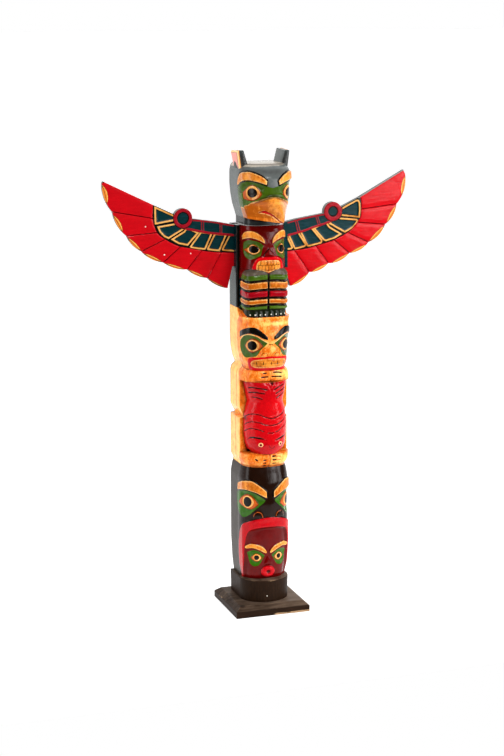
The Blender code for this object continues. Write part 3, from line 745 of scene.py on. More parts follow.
def carveFish(s, z, coats, across, edgeRun):
    # a red fish, head down, with grooves along its scale rows and tail
    side = np.abs(s)
    skin = np.maximum(side - edgeRun + 0.4, np.maximum(fish["low"] - z, z - fish["high"]))
    brush(coats, "red", skin)
    for name in ("honey", "orange", "cream"):
        wipe(coats, name, skin)
    out = np.zeros(s.shape)
    for line in fish["waves"] + fish["flukes"]:
        gap = lineGap(spline(line), s, z, 1.05 + 0.3 * (line in fish["flukes"]))
        brush(coats, "drawn", np.maximum(gap, side - edgeRun + 2.0))
        out = out - lift(gap, fish["waveDeep"], 2.6)
        # each scale row swells a little under its groove
        out = out + 0.5 * np.exp(-((gap + 1.0) / 5.0) ** 2)
    for line in fish["brows"]:
        drawn = spline(line)
        gap = lineGap(drawn, s, z)
        middle = ease(np.abs(s - drawn[:, 0].mean()) / (0.55 * np.ptp(drawn[:, 0])), 1.0, 0.2)
        brush(coats, "dark", gap - 0.6 - 1.3 * middle)
        out = out - lift(gap - 1.5, 1.4, 3.0)
    for centre in fish["eyes"]:
        ring = np.hypot(s - centre[0], z - centre[1])
        brush(coats, "cream", np.abs(ring - fish["eyeHalf"] + 0.9) - 0.9)
        brush(coats, "dark", ring - fish["dotHalf"])
        out = out + 1.2 * ease(fish["eyeHalf"] + 1.5 - ring, 0, 3.0)
    brush(coats, "drawn", lineGap(spline(fish["snout"]), s, z, 0.7))
    notch = lineGap(np.array(fish["notch"], float), s, z, 1.0)
    out = out - lift(notch, 2.0, 5.0)
    # a dark triangle at the top of the tail's notch: painted shadow in the gap under the hands
    hole = np.maximum(np.abs(s - 3) - 0.55 * (z - 504.0), 504 - z)
    brush(coats, "drawn", hole)
    return out * (z > fish["low"]) * (z < fish["high"])


def carvePaws(s, z, coats, across, edgeRun):
    # the bear's feet: deep dark gaps between the toes, and shallower amber lines
    out = np.zeros(s.shape)
    for kind, half, deep in (("toes", 1.6, 2.2), ("lines", 0.8, 1.6)):
        for line in paws[kind]:
            gap = lineGap(spline(line), s, z, half)
            brush(coats, "dark" if kind == "toes" else "amber", gap)
            out = out - lift(gap, deep, 2.2)
    return out * (z < 353)


def carveWhale(s, z, coats, across, edgeRun):
    # the whale's face, and its open mouth with a small face in it
    side = np.abs(s)
    out = carveFace(whaleFace, side, z, coats)
    nostril = lineGap(spline(whaleFace["nostril"]), side, z)
    brush(coats, "amber", np.maximum(nostril - 0.65, 213.5 - z))
    inside = ringGap(spline(whaleFace["nostril"]), side, z)
    out = out + pillow(inside, 2.6, 7.0) + 0.8 * np.exp(-(nostril / 1.4) ** 2)
    out = out + 2.0 * np.exp(-(side / 12.0) ** 2) * ease(z, 205, 225) * ease(260 - z, 0, 20)
    lip = ringGap(np.vstack([spline(whaleFace["lip"]), [(-9, 60)]]), side, z)
    inner = ringGap(np.vstack([spline(whaleFace["lipInner"]), [(-9, 60)]]), side, z)
    rim = paintLips(coats, lip, inner, "maroon")
    wipe(coats, "green", lip)
    out = out + lift(rim, whaleFace["lipRise"], 4.0)
    out = out - whaleFace["mouthDeep"] * ease(-inner, -1.0, 7.0)
    # the small face in the mouth
    out = out + carveFace(innerFace, side, z, coats)
    out = out + pillow(ringGap(spline(innerFace["nose"], 4), side, z), 3.0, 6.0)
    mouth = ovalGap(innerFace["mouth"], innerFace["mouthHalf"], s, z)
    hole = ovalGap(innerFace["mouth"], innerFace["mouthHole"], s, z)
    brush(coats, "red", mouth)
    wipe(coats, "red", hole)
    return out + pillow(mouth, 6.0, 7.0) - lift(hole, 3.2, 5.0)


# from and to which height each figure reaches, and what carves it; all take the same five arrays
figures = [(71.8, 323.5, carveWhale), (323.5, 353.3, carvePaws), (353.3, 511.6, carveFish),
           (511.6, 650.3, carveBear), (650.3, 665.5, carveClaws), (665.5, 842.1, carveBird),
           (858.3, 972.1, carveHead)]


# ---- meshes


def closedBody(rings, start, end, fields, flip=False):
    # a closed surface: rings of points one after another, with a fan to a middle point at both ends;
    # fields hold one value per ring point and take the ring's mean at the middle points
    rows, count = rings.shape[:2]
    points = np.vstack([rings.reshape(-1, 3), [start], [end]]) * mm
    i, j = np.meshgrid(np.arange(rows - 1), np.arange(count), indexing="ij")
    after = (j + 1) % count
    quads = np.stack([i * count + j, i * count + after, (i + 1) * count + after, (i + 1) * count + j], -1)
    j = np.arange(count)
    after = (j + 1) % count
    last = (rows - 1) * count
    first = np.stack([np.full(count, rows * count), after, j], -1)
    final = np.stack([np.full(count, rows * count + 1), last + j, last + after], -1)
    if flip:
        quads, first, final = quads[..., ::-1], first[:, ::-1], final[:, ::-1]
    corners = np.concatenate([quads.ravel(), first.ravel(), final.ravel()])
    sizes = np.concatenate([np.full(quads.size // 4, 4), np.full(2 * count, 3)])
    values = {key: np.concatenate([field.ravel(), [field[0].mean(), field[-1].mean()]])
              for key, field in fields.items()}
    return {"points": points, "corners": corners, "sizes": sizes, "fields": values}


def asPiece(name, bodies, material):
    # puts closed surfaces into one smooth-shaded object; a field that a surface lacks is far off
    counts = [len(body["points"]) for body in bodies]
    shifts = np.concatenate([[0], np.cumsum(counts)[:-1]])
    points = np.vstack([body["points"] for body in bodies])
    corners = np.concatenate([body["corners"] + shift for body, shift in zip(bodies, shifts)])
    sizes = np.concatenate([body["sizes"] for body in bodies])
    data = bpy.data.meshes.new(name)
    data.vertices.add(len(points))
    data.vertices.foreach_set("co", points.ravel())
    data.loops.add(len(corners))
    data.loops.foreach_set("vertex_index", corners)
    data.polygons.add(len(sizes))
    data.polygons.foreach_set("loop_start", np.concatenate([[0], np.cumsum(sizes)[:-1]]))
    data.update(calc_edges=True)
    for key in sorted(set().union(*[body["fields"] for body in bodies])):
        values = [body["fields"].get(key, np.full(count, farOff)) for body, count in zip(bodies, counts)]
        made = data.attributes.new(key, "FLOAT", "POINT")
        made.data.foreach_set("value", np.concatenate(values).astype(np.float32))
    data.polygons.foreach_set("use_smooth", np.ones(len(sizes), bool))
    data.set_sharp_from_angle(angle=math.radians(55))
    data.materials.append(material)
    piece = bpy.data.objects.new(name, data)
    bpy.context.scene.collection.objects.link(piece)
    print(name, int((sizes - 2).sum()), "triangles")
    return piece


def postSections(rows):
    # the bare post: x and depth from the left back corner round the front to the right one, and the
    # run round from the middle of the front, which is the length of the section so far
    flank, edge, reach, squareness, back = (
        profileAt(name, rows) for name in ("flank", "edge", "reach", "squareness", "back"))
    places, wide = frontPlaces(), frontHalf(rows)
    sides = sideColumns(rows, wide, flank, edge, back)
    sideX, sideDepth = (np.hstack([column[k] for column in sides]) for k in (0, 1))
    x = np.hstack([-sideX[:, ::-1], wide * places, sideX])
    depth = np.hstack([sideDepth[:, ::-1], rounded(places, edge, reach, squareness), sideDepth])
    run = np.hypot(np.diff(x, axis=1), np.diff(depth, axis=1))
    s = np.hstack([np.zeros((len(x), 1)), np.cumsum(run, axis=1)])
    middle = x.shape[1] // 2
    return x, depth, s - s[:, middle:middle + 1], middle


def raiseRelief(x, depth, out):
    # pushes the front's places out at right angles to its sections, less towards its two ends
    out = out * (1.0 - ease(np.abs(frontPlaces()), 0.93, 1.0))
    turnX, turnDepth = -np.gradient(depth, axis=1), np.gradient(x, axis=1)
    size = np.hypot(turnX, turnDepth)
    x += out * turnX / size
    depth += out * turnDepth / size


def addBeak(rows, x, depth):
    # joins the beak to the front of the head and cuts its mouth line
    first, last = np.searchsorted(rows[0], (post["chin"] - 0.1, beak["top"]))
    x, depth, rows = x[first:last], depth[first:last], rows[:, first:last]
    z = np.broadcast_to(rows[0][:, None], x.shape)
    depth[:] = joined(depth, beakDepth(x, rows), beak["fillet"])
    depth -= lift(mouthGap(x, z) - 0.9, 1.3, 2.0)


def addCrown(rings, fields):
    # a low dome: the top ring again, ever smaller and higher, painted beige, partly as light from above;
    # returns the rings with it, and its peak
    top, centre = rings[-1], rings[-1].mean(0)
    caps = []
    for part in post["crownParts"]:
        cap = centre + (top - centre) * part
        cap[:, 2] += post["crownRise"] * (1 - part ** 2)
        caps.append(cap)
    caps = np.stack(caps)
    for name, field in fields.items():
        plain = np.full(caps.shape[:2], farOff if name in coatNames else 0.0)
        fields[name] = np.vstack([field, plain])
    fields["beige"][-len(caps):] = -3.6 + 0.05 * caps[..., 0]
    return np.concatenate([rings, caps]), centre + (0, 0, post["crownRise"])


def carvedPost():
    # rings of the post with every coat's distance, the relief that steers the paler edges and the painted
    # shade in the hollows, the paints' tone and the painted shade
    rows = postRows()
    x, depth, s, middle = postSections(rows)
    half, corner = post["frontColumns"], post["cornerColumns"]
    edgeRun, cornerRun = s[:, middle + half][:, None], s[:, middle + half + corner][:, None]
    z = np.broadcast_to(rows[0][:, None], s.shape)
    coats = {name: np.full(s.shape, farOff) for name in coatNames}
    paintBackground(coats, np.abs(s), z, depth, edgeRun, cornerRun)
    out = np.zeros(s.shape)
    for low, high, carve in figures:
        band = slice(*np.searchsorted(rows[0], (low, high)))
        part = {name: coats[name][band] for name in coatNames}
        out[band] = carve(s[band], z[band], part, x[band], edgeRun[band])
    front = slice(middle - half, middle + half + 1)
    raiseRelief(x[:, front], depth[:, front], out[:, front])
    addBeak(rows, x[:, front], depth[:, front])
    # how far each place stands out from its wider surroundings
    rise = np.zeros(s.shape)
    reach = slice(middle - half - corner, middle + half + corner + 1)
    rise[:, reach] = depth[:, reach] - softened(depth[:, reach], 10)
    rise = rise * ease(edgeRun - np.abs(s), 0.5, 5)
    # the flat back, from the right corner to the left one
    flank, back = profileAt("flank", rows), profileAt("back", rows)
    behind = (flank - post["backRound"]) * np.linspace(1, -1, 9)[1:-1]
    shape = behind.shape
    rings = np.stack([np.hstack([x, behind]), -np.hstack([depth, np.broadcast_to(-back, shape)]),
                      np.hstack([z, np.broadcast_to(rows[0][:, None], shape)])], -1)
    fields = {name: np.hstack([coats[name], np.full(shape, farOff)]) for name in coatNames}
    for name, field in (("wear", rise), ("deep", paintDepth(s, z, edgeRun, cornerRun)),
                        ("shade", paintShade(s, z, edgeRun))):
        fields[name] = np.hstack([field, np.zeros(shape)])
    rings, peak = addCrown(rings, fields)
    return closedBody(rings, rings[0].mean(0), peak, fields)


# soft spots, each how strong, where and how wide: on both sides, then only where they are given
# the bear's tone: deeper in the ears' hollows as painted shade, a painted highlight across the forehead, the
# right hand and paw paler as painted light from that side
toneSpots = {
    "even": 0.82,
    "mirrored": [(0.3, (76, 640), (16, 11))],
    "single": [(-0.5, (0, 552), (34, 9)), (-1.2, (12, 637), (32, 4)), (0.2, (0, 612), (14, 12)),
               (-0.35, (0, 588), (5, 8)), (-0.3, (-80, 575), (12, 20)), (0.3, (-22, 526), (30, 9)),
               (-1.0, (38, 526), (26, 10)), (0.2, (-20, 337), (28, 9)), (-0.95, (30, 338), (24, 12))],
}
# painted shade: darker spots by the ears' feet, on the forehead, in the notches and corners round the fish
shadeSpots = {
    "even": 0.0,
    "mirrored": [(0.5, (70, 962), (16, 7)), (0.8, (66, 430), (9, 4)), (0.8, (60, 357), (14, 3.5))],
    "single": [(0.35, (0, 957), (40, 8)), (0.7, (-66, 510), (12, 3)), (0.5, (8, 510.5), (12, 2.5))],
}


def spotted(spots, s, z):
    # an even value with spots on it: each is its strength in the middle and falls off like a bell
    field = np.full(s.shape, spots["even"])
    for kind, across in (("mirrored", np.abs(s)), ("single", s)):
        for strength, place, half in spots[kind]:
            away = ((across - place[0]) / half[0]) ** 2 + ((z - place[1]) / half[1]) ** 2
            field = field + strength * np.exp(-away)
    return field


def besideFish(z):
    # the heights between the ledges below and above the fish
    return (z > fish["low"]) & (z < fish["high"])


def paintDepth(s, z, edgeRun, cornerRun):
    # how deep the bright paints are: on the bear a spotted tone, deeper in the ears' hollows as painted
    # shade, with a painted highlight across the forehead and paler to the right as painted light from that
    # side, deep beside the fish and in the corner groove as painted shade, and low on its sides apart from
    # one line across them; on the other figures an even tone, deeper on the legs and the whale's face, the
    # bill deeper on its sides as painted shade, and paler to the right above the legs as painted light
    side = np.abs(s)
    tone = spotted(toneSpots, s, z) - 0.35 * ease(s, 30, 80)
    tone = np.where(besideFish(z) & (side > edgeRun), 1.15, tone)
    line = 0.35 * np.exp(-((z - 430) / 10) ** 2)
    edge = 0.45 * np.exp(-((side - cornerRun + 2) / 2.0) ** 2) * (z > 512)
    tone = np.where(side > cornerRun - 1, 0.2 + line, tone + edge)
    upper = 0.42 + 0.7 * (z < 752) * (z > 666) + 0.2 * (z < 323) * (z > 160)
    bill = (z > 858) * (z < 912) * (0.85 * ease(-s, 4, 30) + 0.35 * ease(s, 12, 34) - 0.1)
    upper = upper + np.where(z < 915, bill, 0.0) - 0.3 * ease(s, 40, 70) * (z > 752)
    return np.where((z > 666) | (z < 323), upper, tone)


def paintShade(s, z, edgeRun):
    # painted shade: by the ears' feet, on the forehead, in the corners round the fish and along its edge,
    # under the paws
    side = np.abs(s)
    beside = 0.6 * besideFish(z) * np.exp(-(np.abs(side - edgeRun) / 2.2) ** 2)
    return spotted(shadeSpots, s, z) + beside + 0.5 * np.exp(-((z - 325) / 2.5) ** 2) * (side < 70)


def paintBackground(coats, side, z, depth, edgeRun, cornerRun):
    # the bear's bright ground, which also covers its sawn sides up to its ears, and the dark strip
    # on the ledges beside the winged figure
    top = np.interp(side, [45, 47, 78, 90], [650.3, 650.3, 661, 666])
    brush(coats, "honey", np.maximum(323.5 - z, z - top))
    black = np.maximum(edgeRun + 0.5 - side, side - cornerRun)
    brush(coats, "dark", np.maximum(black, np.maximum(666 - z, z - 841)))
    # greyed sides of the whale and the winged figure, their paler grey partly a painted sheen of the side
    # light
    brush(coats, "ash", np.maximum(cornerRun - side, z - 322))
    teal = np.where(z > 748, 16.0, 6.0)
    brush(coats, "ash", np.maximum(depth + teal, np.maximum(666 - z, z - 841)))


ears = {
    "foot": 955.0, "footX": (30.5, 52.0), "footY": (-33.0, 23.5), "tipY": (-31.5, 32.0),
    "tip": {-1: (999.8, 996.8), 1: (997.6, 999.9)}, "tipX": {-1: (43.6, 56.4), 1: (44.4, 56.8)},
    "round": 1.8, "around": 80, "backRound": 3.4,
    "bands": [0.0, 0.2, 0.35, 0.4, 0.45, 0.5, 0.55, 0.6, 0.65, 0.7, 0.75, 0.8, 0.84, 0.88, 0.92, 0.96],
}


def earBody(side):
    # an upright fin: rounded oblong sections from foot to tip, rounded over at the top
    angle = np.linspace(0, 2 * math.pi, ears["around"], endpoint=False)
    wave = [np.sign(f(angle)) * np.abs(f(angle)) ** 0.45 for f in (np.cos, np.sin)]
    sections = [(t, 0.0) for t in ears["bands"]] + [(1.0, a) for a in np.radians([0, 30, 60, 85])]
    rings, fields = [], {name: [] for name in ("ash", "pink", "orange", "cream", "dark", "drawn", "wear",
                                               "deep", "shade")}
    tipX, tips = ears["tipX"][side], ears["tip"][side]
    for t, bend in sections:
        lowX, highX = (ears["footX"][k] + (tipX[k] - ears["footX"][k]) * t for k in (0, 1))
        lowY, highY = (ears["footY"][k] + (ears["tipY"][k] - ears["footY"][k]) * t for k in (0, 1))
        inset = ears["round"] * (1 - math.cos(bend))
        x = 0.5 * (lowX + highX) + (0.5 * (highX - lowX) - inset) * wave[0]
        y = 0.5 * (lowY + highY) + (0.5 * (highY - lowY) - inset) * wave[1]
        alongY = (y - lowY) / (highY - lowY)
        tip = tips[0] + (tips[1] - tips[0]) * alongY - ears["backRound"] * ease(alongY, 0.86, 1.0)
        height = ears["foot"] + (tip - ears["round"] - ears["foot"]) * t + ears["round"] * math.sin(bend)
        rings.append(np.stack([side * x, y, height], -1))
        outward = wave[0] > 0.8
        # outer face: a light border along its front and top round a pink field, a notch at its foot
        border = np.minimum((alongY - 0.26) * 26, tip - height - 4.6)
        notch = np.abs(alongY - 0.62) * 55 - 0.9 * (979 - height)
        values = {"pink": np.where(outward, -border, farOff),
                  "orange": np.where(outward, border - 0.6, farOff),
                  "cream": np.where(outward, np.abs(border + 2.4) - 1.5, farOff)}
        values["drawn"] = np.where(outward, np.abs(border - 0.2) - 0.5, farOff)
        values["dark"] = np.where(outward, notch, farOff)
        values["ash"] = np.where(wave[0] < -0.8, farOff, -1.0)
        frontFace = wave[1] < -0.9
        # painted shade on the front face, darkest at its foot
        values["shade"] = np.where(frontFace, 0.42 - 0.26 * ease(height, 985, 999), 0.0)
        for name in fields:
            fields[name].append(values.get(name, np.zeros(len(y))))
    rings = np.stack(rings)
    fields = {key: np.stack(value) for key, value in fields.items()}
    return closedBody(rings, rings[0].mean(0), rings[-1].mean(0), fields, side < 0)


# ---- the wings

wing = {
    "front": 14.5, "thick": 18.0, "tipThick": 9.5, "root": 41.5, "step": 1.3, "floor": 751.5,
    "centre": (190.0, 835.0), "frontRings": 92, "backRings": 13, "edgeRound": 1.3,
    "discRadius": 20.5, "border": 3.4, "limit": 338.25, "grooveHalf": 1.1, "grooveDeep": 1.8,
    "topInner": [(41.5, 838.2), (57, 840.8), (86.5, 847), (146, 856.3)],
    "beyond": [(191, 870.4), (228.5, 888)],
}
wings = {
    "left": {
        "side": -1, "disc": (165.5, 858.3), "discHalf": (11.0, 13.2), "bulge": 0.095,
        "tip": [(336, 940.8), (338.5, 935.8)],
        "notches": [(317.1, 877.1), (287.6, 825.9), (256, 792.1), (209.2, 767), (156.8, 750),
                    (112.8, 729.5), (68.4, 705.3)],
        "arc": [(230.6, 889.5), (231.1, 859.4), (228, 843.9), (219.3, 826.2), (199.6, 811.9),
                (175.8, 799.6), (155.8, 795), (115.6, 786.2), (84, 782.4), (50, 779.8)],
        "lowLine": [(170, 838.6), (155.3, 835.4), (135.3, 830.7), (115.2, 826.4), (95, 823.2), (50, 817.8)],
        "lowHalf": 2.4,
        "topLine": [(150, 853.6), (125, 850.8), (94.8, 846.6), (74.6, 841.9), (50, 837)], "topHalf": 1.5,
        "dividers": [((125.2, 852), (125.4, 826)), ((121, 852), (121.2, 826)),
                     ((84.7, 845), (84.9, 820)), ((80.8, 844), (81, 820))],
        "cells": [
            [(227.5, 885.6), (227, 847.2), (183, 853.8), (172, 862), (187, 866.6)],
            [(222, 843.2), (216.5, 830.5), (208, 821.5), (197.6, 816), (160, 837), (170, 850)],
            [(192.8, 814.8), (176, 804.6), (155.8, 800), (131, 826.5), (158, 840), (164, 831)],
            [(151.6, 798), (148.8, 794.8), (133.7, 791.8), (117.2, 789.8), (101, 825), (127, 829)],
            [(114, 791), (112, 789), (99.4, 787), (85.8, 785.2), (69.2, 821), (97, 824)],
            [(81, 789), (79, 786), (66.8, 784.4), (44, 782.4), (44, 819), (64, 820)]],
        "grooveEnds": [(230.7, 860.3), (222.2, 830.2), (206.6, 814.6), (171.8, 798),
                       (124.8, 788), (81.1, 782)],
        # part of each feather's end that the light lens covers, and its width
        "lenses": [(0.03, 0.68, 9.5), (0.12, 0.8, 8.2), (0.08, 0.97, 7.0), (0.1, 0.95, 6.4),
                   (0.05, 0.9, 5.8), (0.05, 0.88, 5.6), (0.06, 0.92, 3.6)],
        "root": 54.0, "lensLines": 7, "spots": [(246.8, 843.7), (207, 783.2), (149.6, 783.4)],
    },
    "right": {
        "side": 1, "disc": (170, 860.3), "discHalf": (8.4, 11.4), "bulge": 0.125,
        "tip": [(332.5, 945.2), (337, 935.8)],
        "notches": [(317.6, 871.3), (291.1, 827.8), (252.7, 790.5), (208.4, 768.6), (159.8, 748.6),
                    (115.9, 731.3), (72.5, 703.4)],
        "arc": [(232.7, 893), (235.6, 878), (235.9, 860.1), (232.2, 842), (212.8, 819), (199.2, 810.2),
                (174.1, 798.4), (150, 791.5), (131.6, 787), (108, 782), (83.5, 779.8), (50, 777)],
        "lowLine": [(168, 840), (145, 833), (125.7, 828.2), (97, 819.4), (50, 809.6)], "lowHalf": 2.3,
        "topLine": [(150, 854.2), (125.6, 850.8), (96.9, 846.2), (68.2, 840), (50, 836.6)], "topHalf": 1.3,
        "dividers": [((129.4, 853), (137.6, 830)), ((133.6, 853), (141.2, 832)),
                     ((87.6, 845), (95.2, 818)), ((83.4, 845), (90.6, 816))],
        "cells": [
            [(196, 870.4), (222.5, 883), (229, 883.6), (232.6, 876), (233.4, 860), (231.8, 844.4),
             (190, 850), (180, 860)],
            [(187.4, 846.2), (224, 842.2), (228, 839.6), (226, 833.5), (217, 823.4), (197.5, 813),
             (160, 834.4), (172, 850)],
            [(191.4, 810.6), (174, 801.8), (154, 796.6), (149, 798), (124, 826), (154, 840), (163, 827.5)],
            [(145.6, 799.4), (144.4, 792.6), (131, 789.8), (114.2, 786.4), (110.5, 788), (95.5, 817),
             (98, 822), (120, 830)],
            [(109.4, 791.4), (106, 786.4), (94, 783.8), (83, 782), (80.6, 785), (68, 812), (70, 818),
             (91, 820)],
            [(79, 785.6), (76, 782.6), (44, 779.6), (44, 810), (66, 813)]],
        "grooveEnds": [(236, 862.8), (229, 834.3), (207, 812), (174.1, 797.6),
                       (131.5, 786.6), (82.5, 779.4)],
        "lenses": [(0.06, 0.7, 9.0), (0.06, 0.9, 8.4), (0.06, 0.97, 9.0), (0.15, 0.95, 6.4),
                   (0.03, 0.85, 6.6), (0.05, 0.9, 6.6), (0.06, 0.97, 5.4)],
        "root": 66.6, "lensLines": 3, "spots": [],
    },
}


def evenLoop(corners, step):
    # closed outline with no two neighbours further apart than a step
    parts = []
    for start, end in zip(corners, np.roll(corners, -1, axis=0)):
        count = max(1, math.ceil(np.hypot(*(end - start)) / step))
        parts.append(start + (end - start) * np.linspace(0, 1, count + 1)[:-1, None])
    return np.vstack(parts)


def outwardFrom(outline):
    # unit normals of a closed outline: its direction from neighbour to neighbour, turned by a quarter
    turn = np.roll(outline, -1, axis=0) - np.roll(outline, 1, axis=0)
    return np.stack([turn[:, 1], -turn[:, 0]], -1) / np.hypot(*turn.T)[:, None]


def featherEnds(shape, count):
    # rounded feather ends between the notches, from the tip to the root
    corners = [shape["tip"][-1]] + shape["notches"]
    t = np.linspace(0, 1, count)[:-1]
    pieces = []
    for start, end in zip(corners, corners[1:]):
        (x0, z0), (x1, z1) = start, end
        bulge = shape["bulge"] * np.sin(math.pi * t) ** 0.8
        pieces.append(np.stack([x0 + (x1 - x0) * t - (z1 - z0) * bulge,
                                z0 + (z1 - z0) * t + (x1 - x0) * bulge], -1))
    return np.vstack(pieces + [[corners[-1]]])


def wingOutline(shape):
    # upper edge with the round boss, tip, feather ends, root; no two neighbours further than a step
    cx, cz = shape["disc"]
    radius = wing["discRadius"]
    before, beyond = wing["topInner"][-1], wing["beyond"][0]
    first = math.atan2(before[1] - cz, before[0] - cx) % (2 * math.pi)
    last = math.atan2(beyond[1] - cz, beyond[0] - cx)
    angle = np.linspace(first, last, 40)
    disc = np.stack([cx + radius * np.cos(angle), cz + radius * np.sin(angle)], -1)
    ends = featherEnds(shape, 41)
    line = np.vstack([wing["topInner"][:-1], disc, wing["beyond"][1:], shape["tip"][:1], ends,
                      [(57.5, wing["floor"]), (wing["root"], wing["floor"])]])
    line = evenLoop(line, wing["step"])
    return np.stack([np.minimum(line[:, 0], wing["limit"]), line[:, 1]], -1)


def wingCoats(shape, x, z, edgeGap):
    # distances of the painted shapes, and how far the wood lies back from the front face
    border = wing["border"]
    arc, lowLine = spline(shape["arc"]), spline(shape["lowLine"])
    inside = ringGap(np.vstack([arc, [(30, 779)], [(30, 900)], [(229, 900)]]), x, z)
    coats = {"inner": inside + 0.8}
    cells = np.full(x.shape, farOff)
    fill = np.full(x.shape, farOff)
    for cell in shape["cells"]:
        gap = ringGap(np.array(cell, float), x, z)
        cells = np.minimum(cells, np.maximum(gap, -gap - border))
        fill = np.minimum(fill, gap + border + 1.3)
    strip = ringGap(np.vstack([lowLine, [(20, 812)], [(20, 870)], [(150, 870)]]), x, z)
    disc = np.hypot(x - shape["disc"][0], z - shape["disc"][1])
    coats["gold"] = np.maximum(cells, np.maximum(-strip, 20.8 - disc))
    coats["teal"] = np.maximum(np.minimum(fill, strip + 1.0), 21.8 - disc)
    small, large = shape["discHalf"]
    ring = np.maximum(disc - 20.6, large - disc)
    low = lineGap(lowLine, x, z, shape["lowHalf"])
    top = np.maximum(lineGap(spline(shape["topLine"]), x, z, shape["topHalf"]), 20.5 - disc)
    split = np.full(x.shape, farOff)
    for line in shape["dividers"]:
        split = np.minimum(split, lineGap(np.array(line, float), x, z, 0.9))
    split = np.maximum(split, strip)
    trim = np.minimum(np.minimum(np.maximum(low, 14.0 - disc), top), split)
    coats["trim"] = np.minimum(ring, np.maximum(trim, 20.8 - disc))
    coats["boss"] = disc - small
    # dark drawn lines: round the boss, between its ring and middle, and along the arc
    rim = np.maximum(np.maximum(20.6 - disc, disc - 22.2), inside)
    coats["line"] = np.minimum(np.minimum(rim, np.maximum(disc - large, small - disc)),
                               np.abs(inside + 0.9) - 0.8)
    # and along the upper edge of the left wing and round both tips
    tip = shape["tip"][0]
    upper = lineGap(np.array([wing["beyond"][1], tip], float), x, z)
    drawn = upper - 0.8 if shape["side"] < 0 else farOff
    coats["line"] = np.minimum(coats["line"], np.minimum(drawn, np.hypot(x - tip[0], z - tip[1]) - 3.2))
    coats["bare"] = upper - 1.5 if shape["side"] > 0 else np.full(x.shape, farOff)
    groove = np.full(x.shape, farOff)
    for line in zip(shape["notches"], shape["grooveEnds"]):
        groove = np.minimum(groove, lineGap(np.array(line, float), x, z))
    coats["groove"] = groove
    # lenses of light paint along the feather ends
    corners = [shape["tip"][-1]] + shape["notches"]
    lens, rim = np.full(x.shape, farOff), np.full(x.shape, farOff)
    for number, (start, end, (low, high, width)) in enumerate(zip(corners, corners[1:], shape["lenses"])):
        run = np.subtract(end, start)
        length = np.hypot(*run)
        t = ((x - start[0]) * run[0] + (z - start[1]) * run[1]) / length ** 2
        below = ((x - start[0]) * run[1] - (z - start[1]) * run[0]) / length
        place = np.clip((t - low) / (high - low), 0.0, 1.0)
        full = width * np.sin(math.pi * place) ** 0.75
        edge = shape["bulge"] * length * np.sin(math.pi * np.clip(t, 0, 1)) ** 0.8
        inward = below + edge
        gap = np.where((t > low) & (t < high) & (np.abs(below) < 25), inward - full, farOff)
        lens = np.minimum(lens, gap)
        if number < shape["lensLines"]:
            rim = np.minimum(rim, np.where(gap < farOff, np.abs(inward - 0.45 * full) - 0.6, farOff))
    edgeLine = np.where(lens < farOff, np.abs(lens) - 0.45, farOff)
    coats["lens"], coats["lensLine"] = lens, np.minimum(np.maximum(rim, lens), edgeLine)
    coats["root"] = np.maximum(x - shape["root"], 744 - z)
    spots = np.full(x.shape, farOff)
    for sx, sz in shape["spots"]:
        spots = np.minimum(spots, np.hypot(x - sx, z - sz) - 1.5)
    coats["spot"] = spots
    back = wing["grooveDeep"] * ease(wing["grooveHalf"] * 1.6 - groove, 0, wing["grooveHalf"] * 1.6)
    back = back * (inside > 0) + 1.0 * ease(-fill, -1.0, 1.4) * (coats["gold"] > -1)
    back = back + 0.9 * ease(0.8 - lineGap(arc, x, z, 0.6), 0, 1.6)
    back = back - 0.8 * ease(-np.minimum(coats["trim"], coats["gold"]), -0.6, 1.2)
    back = back - 0.5 * ease(groove, 0, 12) * (inside > 0) * ease(edgeGap, 0, 6)
    coats = {key: np.clip(value, -farOff, farOff) for key, value in coats.items()}
    return coats, back


def wingBody(name):
    # a board: rings from the middle of the front out to the edge, round it, and in over the back
    shape = wings[name]
    outline = wingOutline(shape)
    normal = -outwardFrom(outline)
    centre = np.array(wing["centre"])
    bend = wing["edgeRound"]
    inner = outline - normal * bend
    grow = np.linspace(0, 1, wing["frontRings"] + 1)[1:]
    flat = [centre + (inner - centre) * part for part in grow]
    slope = (wing["thick"] - wing["tipThick"]) / (shape["tip"][-1][0] - wing["root"])

    def boardDepth(x):
        # thinner in even steps from the root to the tip
        return wing["thick"] - slope * (x - wing["root"])

    thick = boardDepth(outline[:, 0])
    over = [(outline - normal * bend * (1 - math.sin(a)), bend * (1 - math.cos(a)))
            for a in np.radians([30, 60, 90])]
    over += [(outline, 0.5 * thick)]
    over += [(line, thick - depth) for line, depth in over[2::-1]]
    behind = [centre + (inner - centre) * part for part in np.linspace(1, 0, wing["backRings"] + 1)[:-1]]
    x, z = np.stack(flat).transpose(2, 0, 1)
    edgeGap = lineGap(np.vstack([outline, outline[:1]])[::2], x, z)
    coats, back = wingCoats(shape, x, z, edgeGap)
    back[-1] = np.clip(back[-1], 0.0, 0.5)
    rows = [np.stack([x, wing["front"] + back, z], -1)]
    for line, depth in over + [(line, boardDepth(line[:, 0])) for line in behind]:
        deep = np.broadcast_to(wing["front"] + depth, len(line))
        rows.append(np.column_stack([line[:, 0], deep, line[:, 1]])[None])
    rings = np.concatenate(rows) * (shape["side"], 1, 1)
    rest = len(rings) - len(x)
    fields = {key: np.vstack([field, np.repeat(field[-1:], rest, axis=0)]) for key, field in coats.items()}
    walls = np.concatenate([np.zeros(len(x)), [0, 0.3, 1], np.ones(rest - 3)])
    fields["wall"] = np.repeat(walls[:, None], len(outline), axis=1)
    start = (shape["side"] * centre[0], wing["front"] + back[0].mean(), centre[1])
    end = (shape["side"] * centre[0], wing["front"] + boardDepth(centre[0]), centre[1])
    return closedBody(rings, start, end, fields, shape["side"] < 0)


# ---- block and board

